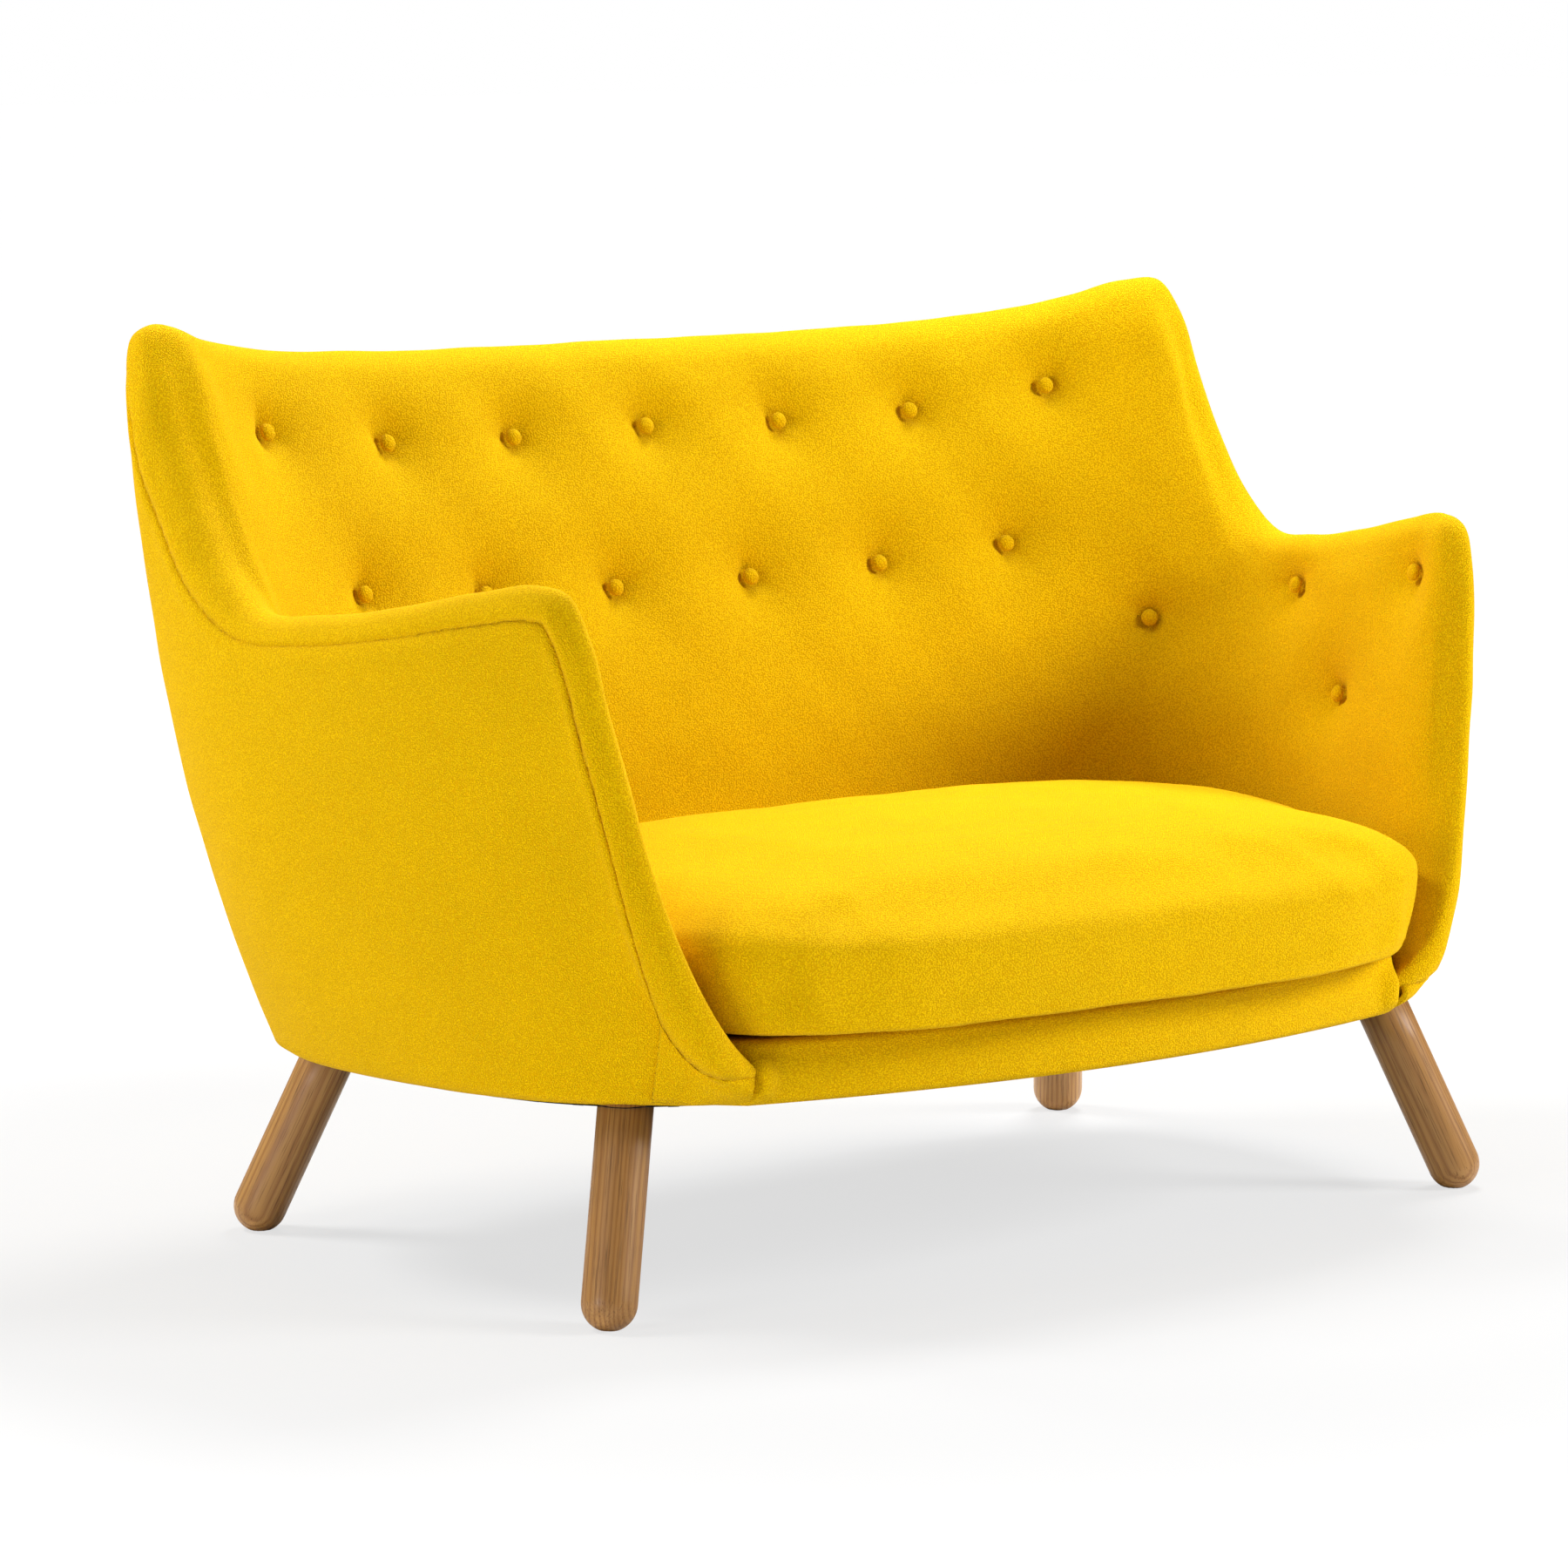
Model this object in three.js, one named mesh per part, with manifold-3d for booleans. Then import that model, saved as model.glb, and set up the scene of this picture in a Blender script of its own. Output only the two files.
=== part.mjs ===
// A compact two-seat sofa: a curved shell of back, wings and arms over a bent timber frame,
// a loose seat cushion, covered buttons, and four splayed round legs.
// Millimetres, +Z up. +Y is the back, -Y the front. The floor is z = 0.
import * as THREE from 'three';
import Module from 'manifold-3d';
import { mergeVertices } from 'three/addons/utils/BufferGeometryUtils.js';

const wasm = await Module();
wasm.setup();

// ---- driving dimensions -------------------------------------------------------------------
const GAP = 0.35;              // clearance between pieces that touch
const UNDERSIDE = 190;         // lower edge of the upholstered shell
const SEAT_DECK = 250;         // top of the deck that the cushion rests on
const DEPTH_CENTRE = -0.8;     // middle of the overall depth, moved onto the origin

const LEG_RADIUS = 25.2;
const FOOT_FLAT = 10;          // radius of the small flat that a foot stands on
const LEG_TOP = 191.7;
const FRONT_FOOT = [521, -281];
const REAR_FOOT = [503, 281];
const FRONT_LEG_TOP = [462, -230];   // axis at LEG_TOP
const REAR_LEG_TOP = [451, 222];
const BOLT_RADIUS = 4;
const BOLT_IN_LEG = 42;
const BOLT_IN_BLOCK = 30;

const RIM_RADIUS = 26;         // rounding of the shell's edge
const ROLL_HEIGHT = 30;        // edge roll, measured down from the rim
const ROLL_GAP = 2;            // open strip below the edge roll, where the covers are sewn
const COVER_THICK = 7;
const LAYER_GAP = 2.2;         // slack between the cover, the timber and the padding
const TIMBER_THICK = 18;
const PAD_THICK = 40;

const RAIL_BOTTOM = 192;
const RAIL_TOP = 228;
const RAIL_SETBACK = 14;       // rails start this far inside the shell's outer edge
const RAIL_WIDTH = 45;
const BLOCK_WIDTH = 84;

const WEB_THICK = 2.5;
const WEB_WIDTH = 50;

const APRON_END = 378;         // half width of the front apron
const APRON_CORNER_Y = -327;
const APRON_BOW = 51;          // how far its middle stands in front of its ends
const APRON_TOP = 247.5;
const APRON_SKIN = 11.5;
const APRON_SHELF = 45;

const CUSHION_CLEAR = 4;
const CUSHION_BOTTOM = SEAT_DECK + GAP;
const CUSHION_EDGE = 342;      // top edge of the cushion at its border
const CUSHION_CROWN = 386;
const CUSHION_FRONT = -409;

const BUTTON_RADIUS = 8.5;
const BUTTON_HEIGHT = 6;
const TUFT_RADIUS = 12.5;
const TUFT_DEPTH = 8;

// ---- the shell's guide curves -------------------------------------------------------------
// Stations run from the middle of the back (0) round one arm to its lower front corner (1);
// the other half is the mirror image. Each row is [station, x, y, z].
const RIM = [
  [0.00, 0, 380, 815],
  [0.12, 170, 378, 815],
  [0.24, 340, 363, 819],
  [0.33, 462, 340, 828],
  [0.39, 546, 314, 843],
  [0.425, 594, 291, 857],
  [0.45, 622, 266, 857],
  [0.475, 631, 244, 824],
  [0.51, 629, 214, 758],
  [0.55, 628, 177, 693],
  [0.585, 627, 137, 641],
  [0.61, 624, 100, 615],
  [0.66, 613, 20, 612],
  [0.71, 596, -70, 625],
  [0.76, 570, -165, 645],
  [0.79, 553, -222, 654],
  [0.81, 542, -254, 646],
  [0.83, 535, -272, 610],
  [0.86, 524, -286, 547],
  [0.89, 510, -298, 475],
  [0.92, 492, -310, 400],
  [0.95, 468, -325, 325],
  [0.975, 437, -335, 265],
  [1.00, 393, -328, 222],
];
// lower edge of the outside
const OUTER_BASE = [
  [0.00, 0, 300, UNDERSIDE],
  [0.15, 180, 299, UNDERSIDE],
  [0.30, 350, 288, UNDERSIDE],
  [0.38, 450, 264, UNDERSIDE],
  [0.44, 519, 226, UNDERSIDE],
  [0.50, 560, 163, UNDERSIDE],
  [0.56, 577, 85, UNDERSIDE],
  [0.63, 578, 5, UNDERSIDE],
  [0.70, 568, -70, UNDERSIDE],
  [0.78, 553, -145, UNDERSIDE],
  [0.86, 525, -215, UNDERSIDE],
  [0.93, 478, -273, UNDERSIDE],
  [1.00, 393, -318, UNDERSIDE],
];
// lower edge of the inside, behind and beside the cushion
const INNER_BASE = [
  [0.00, 0, 146, SEAT_DECK],
  [0.15, 160, 146, SEAT_DECK],
  [0.30, 310, 139, SEAT_DECK],
  [0.38, 400, 121, SEAT_DECK],
  [0.44, 450, 85, SEAT_DECK],
  [0.50, 482, 35, SEAT_DECK],
  [0.56, 495, -20, SEAT_DECK],
  [0.63, 497, -70, SEAT_DECK],
  [0.70, 488, -120, SEAT_DECK],
  [0.78, 468, -175, SEAT_DECK],
  [0.86, 443, -225, SEAT_DECK],
  [0.93, 418, -272, 235],
  [1.00, 382, -313, 206],
];
// plan direction across the rim, [station, x, y]
const ACROSS = [
  [0, 0, 1],
  [0.24, 0.10, 0.99],
  [0.33, 0.28, 0.96],
  [0.40, 0.55, 0.83],
  [0.44, 0.78, 0.62],
  [0.48, 0.95, 0.30],
  [0.55, 0.995, 0.08],
  [0.63, 0.995, -0.05],
  [0.72, 0.975, -0.20],
  [0.80, 0.93, -0.36],
  [0.88, 0.86, -0.50],
  [0.95, 0.78, -0.62],
  [1, 0.70, -0.71],
];
// half thickness at the rim, and how far each side swells between rim and base
const HALF_THICK = [[0, 23.5], [0.60, 23.5], [0.78, 19], [0.85, 16], [1, 16]];
const OUTER_SWELL = [
  [0, 12],
  [0.30, 10],
  [0.40, 2],
  [0.47, 3],
  [0.55, 12],
  [0.65, 18],
  [0.75, 5],
  [0.82, -9],
  [0.90, -10],
  [1, 0],
];
const INNER_SWELL = [[0, -8], [0.32, -7], [0.45, 0], [1, 0]];

const STATION_STEP = 0.001;

// Smooth curve through rows of [station, ...values], one value list out.
function through(rows, t) {
  const count = rows.length;
  const slopes = rows.map((row, i) => row.slice(1).map((_, k) => {
    const a = rows[Math.max(i - 1, 0)];
    const b = rows[Math.min(i + 1, count - 1)];
    if (i === 0 || i === count - 1) return (b[k + 1] - a[k + 1]) / (b[0] - a[0]);
    const before = row[0] - a[0];
    const after = b[0] - row[0];
    const rise = (row[k + 1] - a[k + 1]) / before * after + (b[k + 1] - row[k + 1]) / after * before;
    return rise / (before + after);
  }));
  let i = 0;
  while (i < count - 2 && t > rows[i + 1][0]) i += 1;
  const width = rows[i + 1][0] - rows[i][0];
  const s = (t - rows[i][0]) / width;
  const h00 = 2 * s ** 3 - 3 * s ** 2 + 1;
  const h10 = s ** 3 - 2 * s ** 2 + s;
  const h01 = 3 * s ** 2 - 2 * s ** 3;
  const h11 = s ** 3 - s ** 2;
  return slopes[i].map((slope, k) => h00 * rows[i][k + 1] + h10 * width * slope
    + h01 * rows[i + 1][k + 1] + h11 * width * slopes[i + 1][k]);
}

// A guide curve continued over the mirror plane, so that it is smooth at the middle of the back.
function mirrored(rows) {
  const other = rows.slice(1).reverse().map(([t, x, ...rest]) => [-t, -x, ...rest]);
  return [...other, ...rows];
}

const rimRows = mirrored(RIM);
const outerRows = mirrored(OUTER_BASE);
const innerRows = mirrored(INNER_BASE);
const acrossRows = mirrored(ACROSS);
const rimAt = (t) => new THREE.Vector3(...through(rimRows, t));
const outerBaseAt = (t) => new THREE.Vector3(...through(outerRows, t));
const innerBaseAt = (t) => new THREE.Vector3(...through(innerRows, t));
const acrossAt = (t) => new THREE.Vector3(...through(acrossRows, t), 0).normalize();
const evenly = (rows, t) => through(rows, Math.abs(t))[0];

// Outward plan normal of the lower outside edge.
function baseNormal(t) {
  const along = outerBaseAt(t + STATION_STEP).sub(outerBaseAt(t - STATION_STEP));
  const normal = new THREE.Vector3(along.y, -along.x, 0).normalize();
  const here = outerBaseAt(t);
  return normal.dot(here) < 0 ? normal.negate() : normal;
}

// Both faces before the rim is rounded; v runs from 0 at the rim to 1 at the base.
function rawFaces(t, v) {
  const rim = rimAt(t);
  const half = acrossAt(t).multiplyScalar(evenly(HALF_THICK, t));
  const outerTop = rim.clone().add(half);
  const innerTop = rim.clone().sub(half);
  const outerBase = outerBaseAt(t);
  const innerBase = innerBaseAt(t);
  const swell = baseNormal(t).multiplyScalar(4 * v * (1 - v));
  const outer = new THREE.Vector3(
    THREE.MathUtils.lerp(outerTop.x, outerBase.x, v * v),
    THREE.MathUtils.lerp(outerTop.y, outerBase.y, v * v),
    THREE.MathUtils.lerp(outerTop.z, outerBase.z, v),
  ).addScaledVector(swell, evenly(OUTER_SWELL, t));
  const inner = innerTop.lerp(innerBase, v).addScaledVector(swell, evenly(INNER_SWELL, t));
  return { outer, inner };
}

const rimLine = Array.from({ length: 401 }, (_, i) => rimAt(-1 + i / 200));
const rimSegment = new THREE.Line3();
const nearest = new THREE.Vector3();

function distanceToRim(point) {
  let best = Infinity;
  for (let i = 0; i < rimLine.length - 1; i += 1) {
    rimSegment.set(rimLine[i], rimLine[i + 1]).closestPointToPoint(point, true, nearest);
    best = Math.min(best, nearest.distanceTo(point));
  }
  return best;
}

// Both faces of the finished shell, closing together in a round edge at the rim.
function faces(t, v) {
  const { outer, inner } = rawFaces(t, v);
  const middle = outer.clone().add(inner).multiplyScalar(0.5);
  const reach = Math.min(distanceToRim(middle) / RIM_RADIUS, 1);
  const open = Math.sqrt(1 - (1 - reach) ** 2);
  return { outer: middle.clone().lerp(outer, open), inner: middle.clone().lerp(inner, open) };
}

// Share of the way down at which a value that falls with v drops below a limit.
function shareWhere(isAbove, low = 0, high = 1) {
  for (let i = 0; i < 20; i += 1) {
    const middle = (low + high) / 2;
    if (isAbove(middle)) low = middle;
    else high = middle;
  }
  return low;
}

// Share of the way down at which the shell is a given distance from its rim.
function shareAt(t, distance) {
  return shareWhere((v) => {
    const { outer, inner } = rawFaces(t, v);
    return distanceToRim(outer.add(inner).multiplyScalar(0.5)) < distance;
  });
}

// Depths of the layers below the outside face: cover, timber, then padding up to the inside face.
function layers(t, v) {
  const { outer, inner } = faces(t, v);
  const thick = outer.distanceTo(inner);
  const cover = Math.min(COVER_THICK, 0.16 * thick);
  const timberFace = cover + LAYER_GAP;
  const timberBack = timberFace + Math.min(TIMBER_THICK, 0.38 * thick);
  const pad = Math.max(timberBack + LAYER_GAP, thick - PAD_THICK);
  const at = (depth) => outer.clone().lerp(inner, depth / thick);
  return { at, thick, cover, timberFace, timberBack, pad };
}

// ---- solids -------------------------------------------------------------------------------
// A closed body from a row of loops with equal point counts. Each loop is a band whose points
// run down one side and back up the other, so the end caps are strips between the two sides.
function loft(loops) {
  const size = loops[0].length;
  const points = loops.flat();
  const index = [];
  for (let i = 0; i < loops.length - 1; i += 1) {
    for (let j = 0; j < size; j += 1) {
      const a = i * size + j;
      const b = i * size + (j + 1) % size;
      index.push(a, b, a + size, b, b + size, a + size);
    }
  }
  const last = (loops.length - 1) * size;
  for (let j = 0; j < size / 2 - 1; j += 1) {
    const [a, b, c, d] = [j, j + 1, size - 2 - j, size - 1 - j];
    index.push(a, d, b);
    if (c !== b) index.push(b, d, c);
    index.push(last + a, last + b, last + d);
    if (c !== b) index.push(last + b, last + c, last + d);
  }
  return facingOut(new THREE.BufferGeometry().setFromPoints(points).setIndex(index));
}

// Turns a closed geometry's triangles round if they face in.
function facingOut(geometry) {
  const position = geometry.getAttribute('position');
  const index = geometry.getIndex();
  const [a, b, c] = [new THREE.Vector3(), new THREE.Vector3(), new THREE.Vector3()];
  let volume = 0;
  for (let i = 0; i < index.count; i += 3) {
    a.fromBufferAttribute(position, index.getX(i));
    b.fromBufferAttribute(position, index.getX(i + 1));
    c.fromBufferAttribute(position, index.getX(i + 2));
    volume += a.dot(b.cross(c));
  }
  if (volume < 0) index.array.reverse();
  return geometry;
}

function toManifold(geometry) {
  const plain = geometry.clone();
  plain.deleteAttribute('normal');
  plain.deleteAttribute('uv');
  const merged = mergeVertices(plain, 1e-4);
  return new wasm.Manifold(new wasm.Mesh({
    numProp: 3,
    vertProperties: Float32Array.from(merged.getAttribute('position').array),
    triVerts: Uint32Array.from(merged.getIndex().array),
  }));
}

function fromManifold(solid) {
  const mesh = solid.getMesh();
  const geometry = new THREE.BufferGeometry();
  geometry.setAttribute('position', new THREE.BufferAttribute(mesh.vertProperties, 3));
  geometry.setIndex(new THREE.BufferAttribute(mesh.triVerts, 1));
  return geometry;
}

function subtract(geometry, ...cutters) {
  const cut = (solid, cutter) => solid.subtract(toManifold(cutter));
  return fromManifold(cutters.reduce(cut, toManifold(geometry)));
}

// A flat plate with the given plan outline, between two heights.
function plate(outline, low, high) {
  const shape = new THREE.Shape(outline.map((p) => new THREE.Vector2(p.x, p.y)));
  const geometry = new THREE.ExtrudeGeometry(shape, { depth: high - low, bevelEnabled: false });
  return geometry.translate(0, 0, low);
}

// A solid of revolution about the line from one point towards another.
function turned(profile, segments, from, towards) {
  const geometry = new THREE.LatheGeometry(profile, segments);
  const direction = towards.clone().sub(from).normalize();
  const turn = new THREE.Quaternion().setFromUnitVectors(new THREE.Vector3(0, 1, 0), direction);
  return geometry.applyQuaternion(turn).translate(from.x, from.y, from.z);
}

// Every piece of the shell is cut at these stations, so that neighbouring layers stay parallel.
const STATIONS = [0.08, 0.16, 0.2, 0.27, 0.33, 0.365, 0.385, 0.4, 0.413, 0.425, 0.4375, 0.45, 0.4625,
  0.48, 0.51, 0.55, 0.59, 0.625, 0.665, 0.705, 0.745, 0.775, 0.793, 0.812, 0.835, 0.865, 0.895, 0.925];

function stationsBetween(from, to) {
  const all = [...STATIONS.map((t) => -t).reverse(), 0, ...STATIONS];
  return [from, ...all.filter((t) => t > from + 0.004 && t < to - 0.004), to];
}

const range = (from, to, steps) => Array.from({ length: steps + 1 }, (_, i) => from + (to - from) * i / steps);
const profileOf = (...pairs) => pairs.map(([r, h]) => new THREE.Vector2(r, h));

// ---- materials ----------------------------------------------------------------------------
const material = (color, roughness, metalness = 0) => new THREE.MeshStandardMaterial({ color, roughness, metalness });
const fabric = material(0xf7c908, 0.92);
const padding = material(0xe9dfc4, 0.95);
const timber = material(0xc9a26a, 0.65);
const legWood = material(0xa9784a, 0.45);
const webbing = material(0x8c7a5a, 0.9);
const cloth = material(0x2b2b2d, 0.95);
const steel = material(0x9a9da1, 0.35, 1);

const sofa = new THREE.Group();
sofa.position.y = -DEPTH_CENTRE;

function add(name, geometry, look) {
  const mesh = new THREE.Mesh(geometry, look);
  mesh.name = name;
  sofa.add(mesh);
}

// ---- upholstery of the shell --------------------------------------------------------------
const BACK_END = 0.425;        // station of the joins between back and arms
const FACING = 0.925;          // from here on, the edge roll fills the arm's lower front corner
const SEAM = 0.0004;           // half of a join, in stations

// The round edge roll: from the rim down both faces.
function edgeRoll(stations) {
  const shares = [1, 0.7, 0.45, 0.25, 0.1];
  return loft(stations.map((t) => {
    const end = Math.abs(t) > FACING ? 1 : shareAt(t, ROLL_HEIGHT);
    const rows = shares.map((share) => faces(t, share * end));
    return [...rows.map((row) => row.outer), rimAt(t), ...rows.reverse().map((row) => row.inner)];
  }));
}

// One layer of the shell between two depths, from below the roll to the base.
function shellLayer(stations, rows, depths, lowest = () => 1) {
  return loft(stations.map((t) => {
    const top = shareAt(t, ROLL_HEIGHT + ROLL_GAP);
    const shares = range(top, lowest(t), rows);
    const near = shares.map((v) => {
      const layer = layers(t, v);
      return layer.at(depths(layer)[0]);
    });
    const far = shares.map((v) => {
      const layer = layers(t, v);
      return layer.at(depths(layer)[1]);
    });
    return [...near, ...far.reverse()];
  }));
}

// Share of the way down where the padding ends, clear of the seat webbing.
function padFloor(t) {
  return shareWhere((v) => {
    const layer = layers(t, v);
    return layer.at(layer.pad).z > RAIL_TOP + WEB_THICK + 3;
  }, 0.3);
}

const coverDepths = (layer) => [0, layer.cover];
const padDepths = (layer) => [layer.pad, layer.thick];

// Buttons: [station, share of the way down the inside face], one half and the middle one.
const BUTTON_SPOTS = [
  ['back_top', 0.3625, 0.135],
  ['back_top', 0.240, 0.145],
  ['back_top', 0.121, 0.145],
  ['back_low', 0.320, 0.39],
  ['back_low', 0.193, 0.40],
  ['back_low', 0.066, 0.405],
  ['corner', 0.444, 0.55],
  ['arm_rear', 0.650, 0.13],
  ['arm_front', 0.781, 0.14],
  ['arm_low', 0.700, 0.42],
];

function insideFrame(t, v) {
  const step = 0.004;
  const point = faces(t, v).inner;
  const along = faces(t + step, v).inner.sub(faces(t - step, v).inner);
  const down = faces(t, v + step).inner.sub(faces(t, v - step).inner);
  const normal = along.cross(down).normalize();
  const towardsSeat = new THREE.Vector3(0, -60, 480).sub(point);
  return { point, normal: normal.dot(towardsSeat) < 0 ? normal.negate() : normal };
}

function pocket(t, v) {
  const { point, normal } = insideFrame(t, v);
  const floor = point.clone().addScaledVector(normal, -TUFT_DEPTH);
  return turned(profileOf([0, 0], [TUFT_RADIUS, 0], [TUFT_RADIUS + 4, 30], [0, 30]), 10, floor, point);
}

function button(t, v) {
  const { point, normal } = insideFrame(t, v);
  const seat = point.clone().addScaledVector(normal, GAP - TUFT_DEPTH);
  const r = BUTTON_RADIUS;
  const h = BUTTON_HEIGHT;
  return turned(profileOf([0, 0], [r, 0], [r, 0.4 * h], [0.72 * r, 0.85 * h], [0, h]), 10, seat, point);
}

const sides = [['left', -1], ['right', 1]];

function shellUpholstery() {
  const backStations = stationsBetween(-BACK_END + SEAM, BACK_END - SEAM);
  const backSpots = BUTTON_SPOTS.filter(([, t]) => t < BACK_END);
  const backPockets = [pocket(0, 0.14), ...backSpots.flatMap(([, t, v]) => [pocket(t, v), pocket(-t, v)])];
  add('back_pad', subtract(shellLayer(backStations, 7, padDepths, padFloor), ...backPockets), padding);
  add('back_edge_roll', edgeRoll(backStations), fabric);
  add('outside_back', shellLayer(backStations, 7, coverDepths), fabric);
  sides.forEach(([side, sign]) => {
    const arm = stationsBetween(BACK_END + SEAM, FACING - 0.003).map((t) => t * sign);
    const rollStations = [...stationsBetween(BACK_END + SEAM, FACING), ...range(FACING + SEAM, 1, 4)];
    const armPockets = BUTTON_SPOTS.filter(([, t]) => t > BACK_END).map(([, t, v]) => pocket(t * sign, v));
    add(`${side}_arm_pad`, subtract(shellLayer(arm, 7, padDepths, padFloor), ...armPockets), padding);
    add(`${side}_edge_roll`, edgeRoll(rollStations.map((t) => t * sign)), fabric);
    add(`${side}_outside_arm`, shellLayer(arm, 7, coverDepths), fabric);
  });
}

function buttons() {
  add('button_back_top_middle', button(0, 0.14), fabric);
  const count = {};
  BUTTON_SPOTS.forEach(([place, t, v]) => {
    count[place] = (count[place] ?? 0) + 1;
    const label = place.startsWith('back') ? `${place}_${count[place]}` : place;
    sides.forEach(([side, sign]) => add(`button_${label}_${side}`, button(t * sign, v), fabric));
  });
}

// ---- timber in the shell ------------------------------------------------------------------
const MEMBER_DEPTH = 45;

// Share of the way down where a member reaches the top of the seat rails.
const railShare = (t) => (rimAt(t).z - (RAIL_TOP + 1.5)) / (rimAt(t).z - UNDERSIDE);

function member(stations, rows, from, to) {
  return loft(stations.map((t) => {
    const low = to === Infinity ? railShare(t) : shareAt(t, to);
    const points = range(shareAt(t, from), low, rows).map((v) => layers(t, v));
    const near = points.map((layer) => layer.at(layer.timberFace));
    const far = points.map((layer) => layer.at(layer.timberBack));
    return [...near, ...far.reverse()];
  }));
}

function shellTimber() {
  const top = ROLL_HEIGHT + 4;
  const below = top + MEMBER_DEPTH;
  add('back_top_rail', member(stationsBetween(-0.399, 0.399), 2, top, below), timber);
  sides.forEach(([side, sign]) => {
    const span = (from, to) => stationsBetween(from, to).map((t) => t * sign);
    add(`${side}_back_post`, member(span(0.160, 0.200), 7, below + 1, Infinity), timber);
    add(`${side}_wing_post`, member(span(0.400, 0.4375), 8, top, Infinity), timber);
    add(`${side}_arm_rail`, member(span(0.4385, 0.774), 2, top, below), timber);
    add(`${side}_arm_post`, member(span(0.775, 0.812), 7, top, Infinity), timber);
  });
}

// ---- seat frame ---------------------------------------------------------------------------
const apronY = (x) => APRON_CORNER_Y - APRON_BOW * (1 - (x / APRON_END) ** 2);

// Plan point at a setback inside the shell's lower outside edge.
function ringPoint(t, setback) {
  return outerBaseAt(t).addScaledVector(baseNormal(t), -setback);
}

function ringOutline(from, to, steps, width) {
  const outside = range(from, to, steps).map((t) => ringPoint(t, RAIL_SETBACK));
  const inside = range(to, from, steps).map((t) => ringPoint(t, RAIL_SETBACK + width));
  return [...outside, ...inside];
}

function frontBlockOutline(sign) {
  const outside = range(0.8205, 0.905, 5).map((t) => ringPoint(t, RAIL_SETBACK));
  const inward = [[440, -250], [412, -256], [390, -286], [APRON_END - 5, -296], [APRON_END - 5, -200]];
  const end = ringPoint(0.8205, RAIL_SETBACK + RAIL_WIDTH);
  const outline = [...outside, ...inward.map(([x, y]) => new THREE.Vector3(x, y, 0)), end];
  return outline.map((p) => new THREE.Vector3(p.x * sign, p.y, 0));
}

const mirrorPlan = (outline, sign) => outline.map((p) => new THREE.Vector3(p.x * sign, p.y, 0));

function legAxis(place, sign) {
  const [foot, top] = place === 'front' ? [FRONT_FOOT, FRONT_LEG_TOP] : [REAR_FOOT, REAR_LEG_TOP];
  const footHeight = Math.sqrt(LEG_RADIUS ** 2 - FOOT_FLAT ** 2);
  return {
    foot: new THREE.Vector3(foot[0] * sign, foot[1], footHeight),
    top: new THREE.Vector3(top[0] * sign, top[1], LEG_TOP),
  };
}

// A round bar along the leg's axis, from one distance above its top to another.
function axisBar(axis, radius, from, to, segments) {
  const direction = axis.top.clone().sub(axis.foot).normalize();
  const start = axis.top.clone().addScaledVector(direction, from);
  const end = axis.top.clone().addScaledVector(direction, to);
  return turned(profileOf([0, 0], [radius, 0], [radius, to - from], [0, to - from]), segments, start, end);
}

function leg(axis) {
  const length = axis.top.distanceTo(axis.foot) + LEG_RADIUS;
  const dome = range(0, Math.PI / 2, 5).map((a) => [LEG_RADIUS * Math.sin(a), -LEG_RADIUS * Math.cos(a)]);
  const blank = turned(profileOf(...dome, [LEG_RADIUS, length], [0, length]), 18, axis.foot, axis.top);
  const room = new THREE.BoxGeometry(2000, 2000, LEG_TOP).translate(0, 0, LEG_TOP / 2);
  const trimmed = toManifold(blank).intersect(toManifold(room));
  const hole = axisBar(axis, BOLT_RADIUS + GAP, -BOLT_IN_LEG - 1, 40, 12);
  return fromManifold(trimmed.subtract(toManifold(hole)));
}

function seatFrame() {
  const rear = range(-0.3595, 0.3595, 12);
  const rearOutline = [
    ...rear.map((t) => ringPoint(t, RAIL_SETBACK)),
    ...[...rear].reverse().map((t) => ringPoint(t, RAIL_SETBACK + RAIL_WIDTH)),
  ];
  add('rear_rail', plate(rearOutline, RAIL_BOTTOM, RAIL_TOP), timber);
  const across = range(-APRON_END + 5.5, APRON_END - 5.5, 12);
  const frontOutline = [
    ...across.map((x) => new THREE.Vector3(x, apronY(x) + APRON_SKIN + 1, 0)),
    ...[...across].reverse().map((x) => new THREE.Vector3(x, apronY(x) + APRON_SKIN + 41, 0)),
  ];
  add('front_rail', plate(frontOutline, RAIL_BOTTOM, RAIL_TOP), timber);
  sides.forEach(([side, sign]) => {
    const rail = mirrorPlan(ringOutline(0.4605, 0.8195, 8, RAIL_WIDTH), sign);
    add(`${side}_side_rail`, plate(rail, RAIL_BOTTOM, RAIL_TOP), timber);
    ['front', 'rear'].forEach((place) => {
      const axis = legAxis(place, sign);
      const outline = place === 'front' ? frontBlockOutline(sign)
        : mirrorPlan(ringOutline(0.3605, 0.4595, 4, BLOCK_WIDTH), sign);
      const hole = axisBar(axis, BOLT_RADIUS + GAP, -10, 60, 12);
      add(`${side}_${place}_corner_block`, subtract(plate(outline, RAIL_BOTTOM, RAIL_TOP), hole), timber);
      add(`${side}_${place}_leg_bolt`, axisBar(axis, BOLT_RADIUS, -BOLT_IN_LEG, BOLT_IN_BLOCK, 12), steel);
      add(`${side}_${place}_leg`, leg(axis), legWood);
    });
  });
}

// ---- seat ---------------------------------------------------------------------------------
function strap(centreX, centreY, lengthX, lengthY) {
  const z = RAIL_TOP + GAP + WEB_THICK / 2;
  return new THREE.BoxGeometry(lengthX, lengthY, WEB_THICK).translate(centreX, centreY, z);
}

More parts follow.
